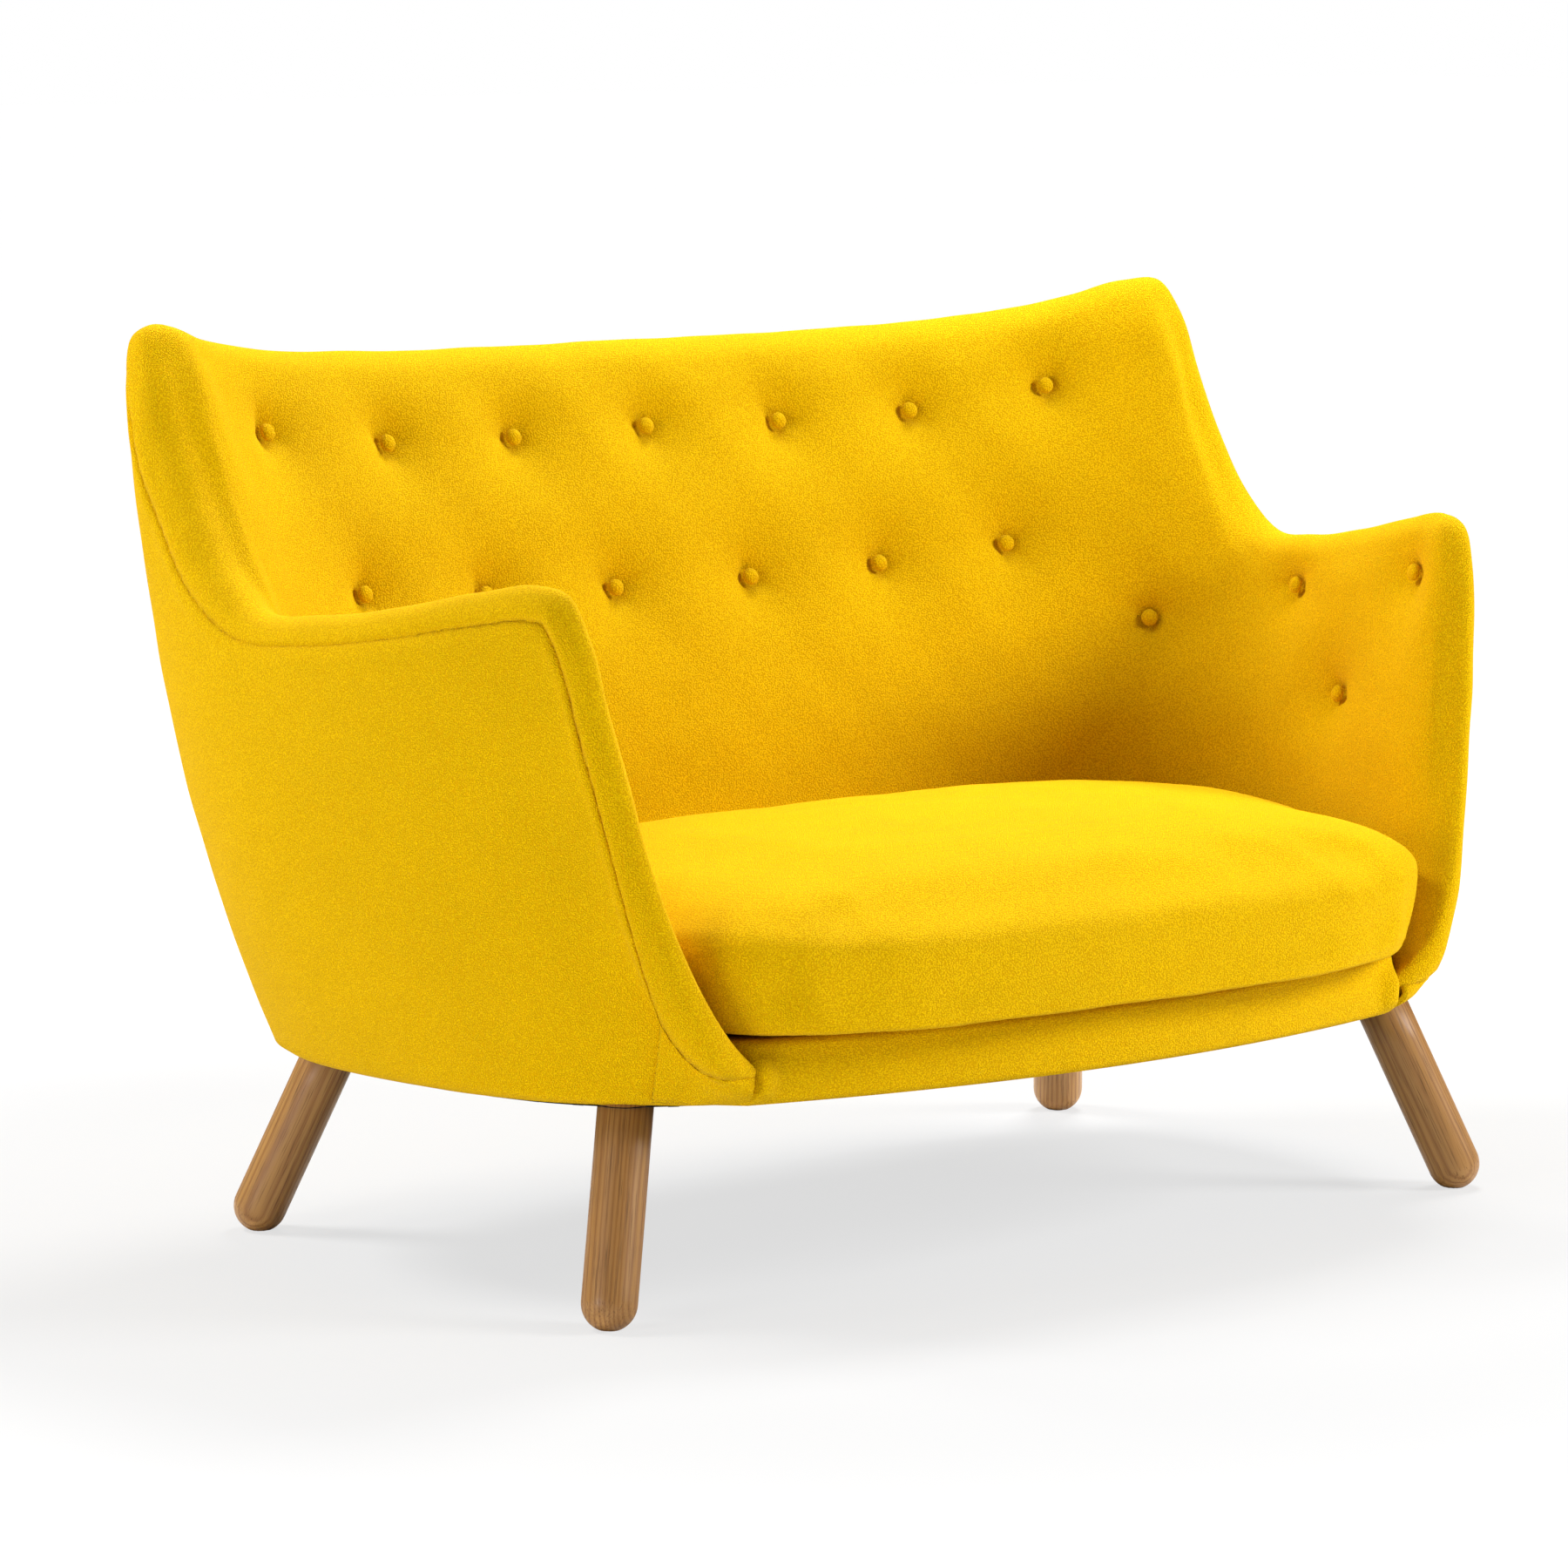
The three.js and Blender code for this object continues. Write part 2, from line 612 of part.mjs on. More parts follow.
function seatWebbing() {
  const runs = [-300, -150, 0, 150, 300].map((x) => {
    const front = apronY(x) + APRON_SKIN + 20;
    const back = 252;
    return strap(x, (front + back) / 2, WEB_WIDTH, back - front);
  });
  const crossings = [[-205, 440], [-95, 525], [15, 535], [125, 520]]
    .map(([y, reach]) => strap(0, y, 2 * reach, WEB_WIDTH));
  const [first, ...rest] = [...runs, ...crossings].map(toManifold);
  return fromManifold(rest.reduce((whole, piece) => whole.add(piece), first));
}

// Plan point of the inside face at a height.
function insideAt(t, z) {
  return rawFaces(t, shareWhere((v) => rawFaces(t, v).inner.z > z)).inner;
}

function seatDeck() {
  const around = range(-0.80, 0.80, 24).map((t) => innerBaseAt(t).addScaledVector(baseNormal(t), -2.5));
  const front = range(350, -350, 10).map((x) => new THREE.Vector3(x, apronY(x) + APRON_SHELF + 1, 0));
  const low = RAIL_TOP + 2 * GAP + WEB_THICK;
  return plate([...around, ...front], low, SEAT_DECK);
}

function apron() {
  const top = RAIL_TOP + WEB_THICK + 2 * GAP;
  const section = [
    [0, UNDERSIDE - 1],
    [-1, 205],
    [-1.5, 225],
    [1, 240],
    [9, APRON_TOP],
    [APRON_SHELF, APRON_TOP],
    [APRON_SHELF, top],
    [APRON_SKIN + 0.4, top],
    [APRON_SKIN + 0.2, 210],
    [APRON_SKIN, UNDERSIDE - 1],
  ];
  const stations = range(-APRON_END, APRON_END, 20);
  return ringLoft(stations.map((x) => section.map(([y, z]) => new THREE.Vector3(x, apronY(x) + y, z))));
}

// A closed body from loops of any outline, with flat end caps.
function ringLoft(loops) {
  const size = loops[0].length;
  const index = [];
  for (let i = 0; i < loops.length - 1; i += 1) {
    for (let j = 0; j < size; j += 1) {
      const a = i * size + j;
      const b = i * size + (j + 1) % size;
      index.push(a, b, a + size, b, b + size, a + size);
    }
  }
  const flat = loops[0].map((p) => new THREE.Vector2(p.y, p.z));
  const last = (loops.length - 1) * size;
  const area = (a, b, c) => b.clone().sub(a).cross(c.clone().sub(a));
  const clockwise = THREE.ShapeUtils.isClockWise(flat);
  THREE.ShapeUtils.triangulateShape(flat, []).forEach(([a, b, c]) => {
    const [p, q] = (area(flat[a], flat[b], flat[c]) < 0) === clockwise ? [b, c] : [c, b];
    index.push(a, q, p);
    index.push(last + a, last + p, last + q);
  });
  return facingOut(new THREE.BufferGeometry().setFromPoints(loops.flat()).setIndex(index));
}

// The cushion's plan outline at a height, drawn in by an inset.
function cushionOutline(z, inset) {
  const around = range(-0.92, 0.92, 28).map((t) => {
    const wall = insideAt(t, Math.max(z, SEAT_DECK));
    const inward = acrossAt(t).lerp(baseNormal(t), 0.5).normalize();
    return wall.addScaledVector(inward, -CUSHION_CLEAR - inset);
  });
  const corner = around[around.length - 1];
  const reach = corner.x - 4;
  const front = CUSHION_FRONT + inset;
  const nose = [0.985, 0.93, 0.82, 0.6, 0.3, 0, -0.3, -0.6, -0.82, -0.93, -0.985].map((share) => {
    const bow = (1 - share ** 4) ** 0.6;
    return new THREE.Vector3(reach * share, THREE.MathUtils.lerp(corner.y - 16, front, bow), z);
  });
  return [...around, ...nose].map((p) => new THREE.Vector3(p.x, p.y, z));
}

// The loose seat cushion: flat below, boxed sides, and a crowned top.
function seatCushion() {
  const bottom = cushionOutline(CUSHION_BOTTOM, 10);
  const lower = cushionOutline(CUSHION_BOTTOM + 12, 2);
  const middle = cushionOutline(300, 0);
  const upper = cushionOutline(CUSHION_EDGE - 12, 3);
  const edge = cushionOutline(CUSHION_EDGE, 14);
  const size = edge.length;
  const centre = new THREE.Vector3(0, -110, 0);
  const crowned = (share, height) => edge.map((p) => {
    const point = centre.clone().lerp(p, share);
    point.z = height;
    return point;
  });
  const rise = CUSHION_CROWN - CUSHION_EDGE;
  const rings = [bottom, lower, middle, upper, edge,
    crowned(0.8, CUSHION_EDGE + 0.5 * rise), crowned(0.5, CUSHION_EDGE + 0.88 * rise)];
  const poles = [CUSHION_CROWN, CUSHION_BOTTOM].map((z) => new THREE.Vector3(centre.x, centre.y, z));
  const points = [...rings.flat(), ...poles];
  const index = [];
  for (let i = 0; i < rings.length - 1; i += 1) {
    for (let j = 0; j < size; j += 1) {
      const a = i * size + j;
      const b = i * size + (j + 1) % size;
      index.push(a, b, a + size, b, b + size, a + size);
    }
  }
  const top = (rings.length - 1) * size;
  for (let j = 0; j < size; j += 1) {
    index.push(top + j, top + (j + 1) % size, points.length - 2);
    index.push((j + 1) % size, j, points.length - 1);
  }
  return facingOut(new THREE.BufferGeometry().setFromPoints(points).setIndex(index));
}

function dustCover() {
  const around = range(-0.97, 0.97, 40).map((t) => ringPoint(t, 11));
  const front = range(360, -360, 8).map((x) => new THREE.Vector3(x, apronY(x) + APRON_SKIN + 2, 0));
  const holes = sides.flatMap(([, sign]) => ['front', 'rear'].map((place) => (
    axisBar(legAxis(place, sign), LEG_RADIUS + 0.6, -40, 30, 18))));
  return subtract(plate([...around, ...front], UNDERSIDE - 3.5, UNDERSIDE - 1.4), ...holes);
}

shellUpholstery();
buttons();
shellTimber();
seatFrame();
add('seat_webbing', seatWebbing(), webbing);
add('seat_deck_pad', seatDeck(), padding);
add('front_apron', apron(), fabric);
add('seat_cushion', seatCushion(), fabric);
add('dust_cover', dustCover(), cloth);

export default sofa;
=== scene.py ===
import math

import bmesh
import bpy
import numpy as np
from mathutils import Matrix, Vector
from mathutils.geometry import delaunay_2d_cdt


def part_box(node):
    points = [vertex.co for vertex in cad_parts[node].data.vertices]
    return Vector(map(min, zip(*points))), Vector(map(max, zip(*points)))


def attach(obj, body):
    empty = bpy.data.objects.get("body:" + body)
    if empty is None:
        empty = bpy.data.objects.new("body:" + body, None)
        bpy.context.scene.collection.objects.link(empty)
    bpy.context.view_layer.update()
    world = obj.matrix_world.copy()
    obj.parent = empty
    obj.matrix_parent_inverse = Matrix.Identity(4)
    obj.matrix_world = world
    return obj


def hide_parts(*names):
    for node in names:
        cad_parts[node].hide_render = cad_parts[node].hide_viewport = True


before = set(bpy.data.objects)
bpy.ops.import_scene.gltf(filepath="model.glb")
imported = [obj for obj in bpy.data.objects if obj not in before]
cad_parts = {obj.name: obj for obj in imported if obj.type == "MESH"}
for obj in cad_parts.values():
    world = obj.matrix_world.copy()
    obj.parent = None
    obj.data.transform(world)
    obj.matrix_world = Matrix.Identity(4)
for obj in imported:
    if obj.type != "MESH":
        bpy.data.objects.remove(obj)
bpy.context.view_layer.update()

bl_info = {
    "name": "Tufted sofa with wooden legs",
    "version": (1, 0, 0),
    "blender": (4, 5, 0),
    "location": "View3D > Sidebar > Sofa",
    "description": "Covers, cushion, buttons and legs of a compact two-seat sofa, built round its frame",
    "category": "Object",
}

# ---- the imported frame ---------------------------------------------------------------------
SOFA = "sofa"
CUSHION = "cushion"
SIDES = (("left", -1), ("right", 1))
MM = 0.001

# The shell's guide curves stand DEPTH_SHIFT in front of the frame's middle.
DEPTH_SHIFT = 0.0008
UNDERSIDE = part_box("outside_back")[0].z
SEAT_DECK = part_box("seat_deck_pad")[1].z
LEG_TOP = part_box("left_front_leg")[1].z
LEG_RADIUS = 0.0252
FOOT_FLAT = 0.010

# ---- guide curves of the shell, in mm -------------------------------------------------------
# Stations run from the middle of the back (0) round one arm to its lower front corner (1).
RIM = [
    (0.00, 0, 380, 815), (0.12, 170, 378, 815), (0.24, 340, 363, 819), (0.33, 462, 340, 828),
    (0.39, 546, 314, 843), (0.425, 594, 291, 857), (0.45, 622, 266, 857),
    (0.475, 631, 244, 824), (0.51, 629, 214, 758), (0.55, 628, 177, 693),
    (0.585, 627, 137, 641), (0.61, 624, 100, 615), (0.66, 613, 20, 612),
    (0.71, 596, -70, 625), (0.76, 570, -165, 645), (0.79, 553, -222, 654),
    (0.81, 542, -254, 646), (0.83, 535, -272, 610), (0.86, 524, -286, 547),
    (0.89, 510, -298, 475), (0.92, 492, -310, 400), (0.95, 468, -325, 325),
    (0.975, 437, -335, 265), (1.00, 393, -328, 222),
]
OUTER_BASE = [
    (0.00, 0, 300), (0.15, 180, 299), (0.30, 350, 288), (0.38, 450, 264), (0.44, 519, 226),
    (0.50, 560, 163), (0.56, 577, 85), (0.63, 578, 5), (0.70, 568, -70), (0.78, 553, -145),
    (0.86, 525, -215), (0.93, 478, -273), (1.00, 393, -318),
]
INNER_BASE = [
    (0.00, 0, 146, 250), (0.15, 160, 146, 250), (0.30, 310, 139, 250), (0.38, 400, 121, 250),
    (0.44, 450, 85, 250), (0.50, 482, 35, 250), (0.56, 495, -20, 250), (0.63, 497, -70, 250),
    (0.70, 488, -120, 250), (0.78, 468, -175, 250), (0.86, 443, -225, 232),
    (0.93, 418, -272, 203), (1.00, 382, -313, 196),
]
ACROSS = [
    (0, 0, 1), (0.24, 0.10, 0.99), (0.33, 0.28, 0.96), (0.40, 0.55, 0.83), (0.44, 0.78, 0.62),
    (0.48, 0.95, 0.30), (0.55, 0.995, 0.08), (0.63, 0.995, -0.05), (0.72, 0.975, -0.20),
    (0.80, 0.93, -0.36), (0.88, 0.86, -0.50), (0.95, 0.78, -0.62), (1, 0.70, -0.71),
]
HALF_THICK = [(0, 23.5), (0.60, 23.5), (0.78, 19), (0.85, 16), (1, 16)]
OUTER_SWELL = [
    (0, 12), (0.30, 10), (0.40, 2), (0.47, 3), (0.55, 12), (0.65, 18), (0.75, 5),
    (0.82, -9), (0.90, -10), (1, 0),
]
INNER_SWELL = [(0, -8), (0.32, -7), (0.45, 0), (1, 0)]
# how far below the rim the outside cover is sewn on
SEAM_DROP = [
    (0, 28), (0.80, 28), (0.86, 31), (0.91, 37), (0.94, 38), (0.965, 30), (0.985, 17), (1, 3),
]
RIM_RADIUS = 0.026
RIM_QUARTER = RIM_RADIUS * math.pi / 2
BACK_END = 0.425

# Buttons: name, station, share of the way down the inside face.
CORNER_STATION = 0.444
CORNER_SHARE = 0.55
BUTTONS = [
    ("button_back_top_1", 0.3625, 0.135), ("button_back_top_2", 0.240, 0.145),
    ("button_back_top_3", 0.121, 0.145), ("button_back_low_1", 0.320, 0.39),
    ("button_back_low_2", 0.193, 0.40), ("button_back_low_3", 0.066, 0.405),
    ("button_corner", CORNER_STATION, CORNER_SHARE), ("button_arm_rear", 0.650, 0.13),
    ("button_arm_front", 0.781, 0.14), ("button_arm_low", 0.700, 0.42),
]
MIDDLE_BUTTON = ("button_back_top_middle", 0.0, 0.14)


def along(rows, t):
    """Smooth curve through rows of (station, ...values) at stations t, odd in its first value."""
    rows = np.array(rows, float)
    knots, values = rows[:, 0], rows[:, 1:]
    step = np.diff(knots)[:, None]
    rate = np.diff(values, axis=0) / step
    slope = np.empty_like(values)
    slope[1:-1] = (rate[:-1] * step[1:] + rate[1:] * step[:-1]) / (step[1:] + step[:-1])
    slope[0], slope[-1] = rate[0], rate[-1]
    i = np.clip(np.searchsorted(knots, t, side="left") - 1, 0, len(knots) - 2)
    width = step[i]
    s = ((t - knots[i])[:, None]) / width
    start = values[i] * (2 * s ** 3 - 3 * s ** 2 + 1) + slope[i] * width * (s ** 3 - 2 * s ** 2 + s)
    end = values[i + 1] * (3 * s ** 2 - 2 * s ** 3) + slope[i + 1] * width * (s ** 3 - s ** 2)
    return start + end


def both_halves(rows):
    """A guide curve continued over the mirror plane."""
    other = [(-r[0], -r[1]) + tuple(r[2:]) for r in rows[:0:-1]]
    return other + list(rows)


RIM_ROWS = both_halves(RIM)
OUTER_ROWS = both_halves(OUTER_BASE)
INNER_ROWS = both_halves(INNER_BASE)
ACROSS_ROWS = both_halves(ACROSS)


def ramp(x, low, high):
    """0 below low, 1 above high, and smooth between."""
    s = np.clip((x - low) / (high - low), 0, 1)
    return s * s * (3 - 2 * s)


def unit(v):
    return v / np.maximum(np.linalg.norm(v, axis=-1, keepdims=True), 1e-12)


def rim(t):
    return along(RIM_ROWS, t) * MM


def outer_base(t):
    plan = along(OUTER_ROWS, t) * MM
    return np.column_stack([plan, np.full(len(t), UNDERSIDE)])


def inner_base(t):
    return along(INNER_ROWS, t) * MM


def across(t):
    plan = unit(along(ACROSS_ROWS, t))
    return np.column_stack([plan, np.zeros(len(t))])


def evenly(rows, t):
    return along(rows, np.abs(t))[:, :1]


def base_normal(t):
    """Outward plan normal of the lower outside edge."""
    run = outer_base(t + 0.001) - outer_base(t - 0.001)
    normal = unit(np.column_stack([run[:, 1], -run[:, 0], np.zeros(len(t))]))
    facing = np.sum(normal * outer_base(t), axis=1, keepdims=True)
    return np.where(facing < 0, -normal, normal)


def raw_faces(t, v):
    """Outside and inside face before the rim is rounded; v is 0 at the rim and 1 at the base."""
    v = v[:, None]
    edge, half = rim(t), across(t) * evenly(HALF_THICK, t) * MM
    outer_top, inner_top = edge + half, edge - half
    base_out, base_in = outer_base(t), inner_base(t)
    swell = base_normal(t) * 4 * v * (1 - v) * MM
    outer = np.concatenate([
        outer_top[:, :2] + (base_out - outer_top)[:, :2] * v * v,
        outer_top[:, 2:] + (base_out - outer_top)[:, 2:] * v,
    ], axis=1) + swell * evenly(OUTER_SWELL, t)
    inner = inner_top + (base_in - inner_top) * v + swell * evenly(INNER_SWELL, t)
    return outer, inner


RIM_LINE = rim(np.linspace(-1, 1, 401))


def distance_to_rim(points):
    start, step = RIM_LINE[:-1], np.diff(RIM_LINE, axis=0)
    squared = np.sum(step * step, axis=1)
    best = np.empty(len(points))
    for i in range(0, len(points), 4000):
        away = points[i:i + 4000, None, :] - start[None]
        share = np.clip(np.sum(away * step[None], axis=2) / squared, 0, 1)
        gap = away - share[..., None] * step[None]
        best[i:i + 4000] = np.sqrt(np.min(np.sum(gap * gap, axis=2), axis=1))
    return best


class Section:
    """The shell's cross-sections at a list of stations."""

    DEPTHS = 60
    REACH = 0.095

    def __init__(self, t):
        self.t = t
        outer, inner = raw_faces(t, np.ones(len(t)))
        length = np.linalg.norm((outer + inner) / 2 - rim(t), axis=1)
        down = np.linspace(0, self.REACH, self.DEPTHS)[None, :] / length[:, None]
        self.shares = np.minimum(down, 1)
        flat_t = np.repeat(t, self.DEPTHS)
        outer, inner = raw_faces(flat_t, self.shares.ravel())
        near = distance_to_rim((outer + inner) / 2).reshape(self.shares.shape)
        self.near = np.maximum.accumulate(near, axis=1) + np.arange(self.DEPTHS) * 1e-9

    def share(self, distance):
        """Share of the way down where the shell is a given distance from its rim."""
        distance = np.broadcast_to(distance, self.t.shape)
        return np.array([np.interp(d, n, s) for d, n, s in zip(distance, self.near, self.shares)])

    def at(self, v, openness, outside):
        outer, inner = raw_faces(self.t, v)
        middle = (outer + inner) / 2
        side = outer if outside else inner
        return middle + (side - middle) * np.broadcast_to(openness, self.t.shape)[:, None]

    def rounded(self, arc, outside):
        """Points on one side at an arc length from the rim, over its rounded edge."""
        arc = np.broadcast_to(arc, self.t.shape)
        angle = np.minimum(arc, RIM_QUARTER) / RIM_RADIUS
        distance = RIM_RADIUS * (1 - np.cos(angle)) + np.maximum(arc - RIM_QUARTER, 0)
        return self.at(self.share(distance), np.sin(angle), outside)

    def openness(self, v):
        """How far the rounded rim has opened, from 0 to 1, at a share of the way down."""
        near = np.array([np.interp(x, s, n) for x, s, n in zip(v, self.shares, self.near)])
        reach = np.minimum(near / RIM_RADIUS, 1)
        return np.sqrt(1 - (1 - reach) ** 2)

    def faces(self, v):
        """Both finished faces at a share of the way down."""
        openness = self.openness(v)
        return self.at(v, openness, True), self.at(v, openness, False)


def seam_arc(t):
    """Arc length from the rim down the outside to the seam."""
    drop = evenly(SEAM_DROP, t)[:, 0] * MM
    angle = np.arccos(np.clip(1 - drop / RIM_RADIUS, 0, 1))
    return np.where(drop < RIM_RADIUS, RIM_RADIUS * angle, RIM_QUARTER + drop - RIM_RADIUS)


def grid_normals(points):
    """Unit normals of a grid of points, from its two directions."""
    a = np.gradient(points, axis=0)
    b = np.gradient(points, axis=1)
    return unit(np.cross(a, b))


def relaxed(points, weight, reach):
    """Evens a grid out along its stations, by a weight from 0 to 1 for each point."""
    count = int(3 * reach)
    kernel = np.exp(-0.5 * (np.arange(-count, count + 1) / reach) ** 2)
    kernel /= kernel.sum()
    # both ends are continued straight on, so that they stay where they are
    ahead = 2 * points[:1] - points[count:0:-1]
    behind = 2 * points[-1:] - points[-2:-count - 2:-1]
    padded = np.concatenate([ahead, points, behind])
    soft = np.zeros_like(points)
    for i, share in enumerate(kernel):
        soft += share * padded[i:i + len(points)]
    return points + (soft - points) * weight[..., None]


def relaxed_down(points, weight, reach):
    """Evens a grid out the same way from the rim down."""
    return relaxed(points.transpose(1, 0, 2), weight.T, reach).transpose(1, 0, 2)


def run_along(points, axis):
    """Length run along one direction of a grid, from its first row or column."""
    steps = np.linalg.norm(np.diff(points, axis=axis), axis=2)
    start = np.zeros_like(np.take(steps, [0], axis=axis))
    return np.concatenate([start, np.cumsum(steps, axis=axis)], axis=axis)


def shifted(points):
    """The shell's own curves, moved to the frame's middle."""
    return points + np.array([0, DEPTH_SHIFT, 0])


# ---- meshes --------------------------------------------------------------------------------
def new_piece(name, verts, faces, material, smooth=True):
    mesh = bpy.data.meshes.new(name)
    mesh.from_pydata(np.asarray(verts).reshape(-1, 3).tolist(), [], faces)
    mesh.validate(clean_customdata=False)
    for polygon in mesh.polygons:
        polygon.use_smooth = smooth
    piece = bpy.data.objects.new(name, mesh)
    bpy.context.scene.collection.objects.link(piece)
    if material is not None:
        mesh.materials.append(material)
    return piece


def face_out(piece):
    bm = bmesh.new()
    bm.from_mesh(piece.data)
    bmesh.ops.recalc_face_normals(bm, faces=bm.faces)
    if bm.calc_volume(signed=True) < 0:
        bmesh.ops.reverse_faces(bm, faces=bm.faces)
    bm.to_mesh(piece.data)
    bm.free()


def band_faces(first, rings, size):
    """Quads between closed rings of points; first is the index of their first point."""
    faces = []
    for a in range(first, first + (rings - 1) * size, size):
        for j in range(size):
            k = (j + 1) % size
            faces.append((a + j, a + k, a + size + k, a + size + j))
    return faces


def lofted(name, rings, material):
    """A closed body through closed rings [station, point, xyz]."""
    stations, size, _ = rings.shape
    faces = band_faces(0, stations, size)
    faces.append(list(range(size))[::-1])
    faces.append([(stations - 1) * size + j for j in range(size)])
    piece = new_piece(name, rings, faces, material)
    face_out(piece)
    return piece


# ---- node materials -------------------------------------------------------------------------
def link(tree, source, target):
    tree.links.new(source, target)


def node(tree, kind, **settings):
    made = tree.nodes.new(kind)
    for key, value in settings.items():
        setattr(made, key, value)
    return made


def feed(tree, value, socket):
    """Links a socket to another one, or gives it a plain number, vector or colour."""
    if isinstance(value, bpy.types.NodeSocket):
        link(tree, value, socket)
    elif isinstance(value, tuple) and socket.type == "RGBA":
        socket.default_value = (*value, 1)
    else:
        socket.default_value = value


def sum_up(tree, operation, *values):
    """A Math node fed by sockets or plain numbers."""
    made = node(tree, "ShaderNodeMath", operation=operation)
    for socket, value in zip(made.inputs, values):
        feed(tree, value, socket)
    return made.outputs[0]


def vector_sum(tree, operation, *values):
    """A Vector Math node fed by sockets or plain vectors."""
    made = node(tree, "ShaderNodeVectorMath", operation=operation)
    for socket, value in zip(made.inputs, values):
        feed(tree, value, socket)
    return made.outputs[0]


def mixed(tree, factor, first, second):
    """A colour mix fed by sockets or plain colours."""
    made = node(tree, "ShaderNodeMix", data_type="RGBA")
    for index, value in ((0, factor), (6, first), (7, second)):
        feed(tree, value, made.inputs[index])
    return made.outputs[2]


def carried_over(tree, value, source, target=(0.0, 1.0), kind="SMOOTHSTEP"):
    """A Map Range node from one (low, high) pair to another."""
    made = node(tree, "ShaderNodeMapRange", interpolation_type=kind)
    link(tree, value, made.inputs["Value"])
    labels = ("From Min", "From Max", "To Min", "To Max")
    for label, number in zip(labels, (*source, *target)):
        made.inputs[label].default_value = number
    return made.outputs[0]


def noise(tree, vector, scale, detail=2.0, roughness=0.5):
    made = node(tree, "ShaderNodeTexNoise")
    made.inputs["Scale"].default_value = scale
    made.inputs["Detail"].default_value = detail
    made.inputs["Roughness"].default_value = roughness
    link(tree, vector, made.inputs["Vector"])
    return made.outputs["Fac"]


def new_group(name, inputs, outputs):
    group = bpy.data.node_groups.new(name, "ShaderNodeTree")
    for label, kind, value in inputs:
        socket = group.interface.new_socket(label, in_out="INPUT", socket_type=kind)
        if value is not None:
            socket.default_value = value
    for label, kind in outputs:
        group.interface.new_socket(label, in_out="OUTPUT", socket_type=kind)
    return group, node(group, "NodeGroupInput"), node(group, "NodeGroupOutput")


def weave_group():
    """Nubby woven cloth: thread height, a mask of the gaps between threads for painted shade, and slow
    unevenness.
    """
    group, given, out = new_group("woven cloth", [
        ("Vector", "NodeSocketVector", None),
        ("Pitch", "NodeSocketFloat", 0.0026),
    ], [("Height", "NodeSocketFloat"), ("Gap", "NodeSocketFloat"), ("Patch", "NodeSocketFloat")])
    vector = given.outputs["Vector"]
    slanted = node(group, "ShaderNodeMapping", vector_type="POINT")
    slanted.inputs["Rotation"].default_value = (0, 0, math.radians(34))
    slanted.inputs["Scale"].default_value = (1.0, 1.35, 1.0)
    link(group, vector, slanted.inputs["Vector"])
    nubs = node(group, "ShaderNodeTexVoronoi", voronoi_dimensions="3D", feature="F1")
    nubs.inputs["Randomness"].default_value = 0.8
    link(group, slanted.outputs[0], nubs.inputs["Vector"])
    link(group, sum_up(group, "DIVIDE", 1.0, given.outputs["Pitch"]), nubs.inputs["Scale"])
    spread = carried_over(group, nubs.outputs["Distance"], (0.22, 0.72))
    slubs = noise(group, slanted.outputs[0], 430, 2, 0.6)
    uneven = sum_up(group, "MULTIPLY_ADD", slubs, 0.9, 0.5)
    # the gaps between the threads: mask for the shade painted into the thread recesses
    gap = sum_up(group, "MULTIPLY", spread, uneven)
    link(group, sum_up(group, "MINIMUM", gap, 1.0), out.inputs["Gap"])
    link(group, sum_up(group, "MULTIPLY_ADD", slubs, 0.5, sum_up(group, "SUBTRACT", 1.0, gap)),
         out.inputs["Height"])
    link(group, noise(group, vector, 9, 3, 0.55), out.inputs["Patch"])
    return group


def grain_group():
    """Straight wood grain along Z of the given coordinates."""
    group, given, out = new_group("straight grain", [
        ("Vector", "NodeSocketVector", None),
        ("Ring width", "NodeSocketFloat", 0.0042),
        ("Seed", "NodeSocketFloat", 0.0),
    ], [("Ring", "NodeSocketFloat"), ("Pore", "NodeSocketFloat"), ("Tone", "NodeSocketFloat")])
    spread = node(group, "ShaderNodeCombineXYZ")
    for socket in spread.inputs:
        link(group, given.outputs["Seed"], socket)
    offset = vector_sum(group, "ADD", given.outputs["Vector"], spread.outputs[0])
    drawn = vector_sum(group, "MULTIPLY", offset, (1, 1, 0.035))
    sway = noise(group, drawn, 22, 2, 0.5)
    split = node(group, "ShaderNodeSeparateXYZ")
    link(group, offset, split.inputs[0])
    across_rings = sum_up(group, "MULTIPLY_ADD", sway, 0.02, split.outputs[0])
    turn = sum_up(group, "DIVIDE", 2 * math.pi, given.outputs["Ring width"])
    wave = sum_up(group, "SINE", sum_up(group, "MULTIPLY", across_rings, turn))
    ring = sum_up(group, "MULTIPLY_ADD", wave, 0.5, 0.5)
    link(group, sum_up(group, "POWER", ring, 2.2), out.inputs["Ring"])
    fine = vector_sum(group, "MULTIPLY", offset, (1, 1, 0.02))
    pores = noise(group, fine, 900, 3, 0.65)
    sharp = carried_over(group, pores, (0.52, 0.70), kind="LINEAR")
    link(group, sharp, out.inputs["Pore"])
    link(group, noise(group, drawn, 55, 3, 0.55), out.inputs["Tone"])
    return group


def new_material(name, roughness, **sockets):
    material = bpy.data.materials.new(name)
    material.use_nodes = True
    tree = material.node_tree
    shader = tree.nodes["Principled BSDF"]
    shader.inputs["Roughness"].default_value = roughness
    for label, value in sockets.items():
        shader.inputs[label.replace("_", " ")].default_value = value
    return material, tree, shader


def bumped(tree, shader, height, distance, strength=1.0):
    bump = node(tree, "ShaderNodeBump")
    bump.inputs["Distance"].default_value = distance
    bump.inputs["Strength"].default_value = strength
    link(tree, height, bump.inputs["Height"])
    link(tree, bump.outputs[0], shader.inputs["Normal"])


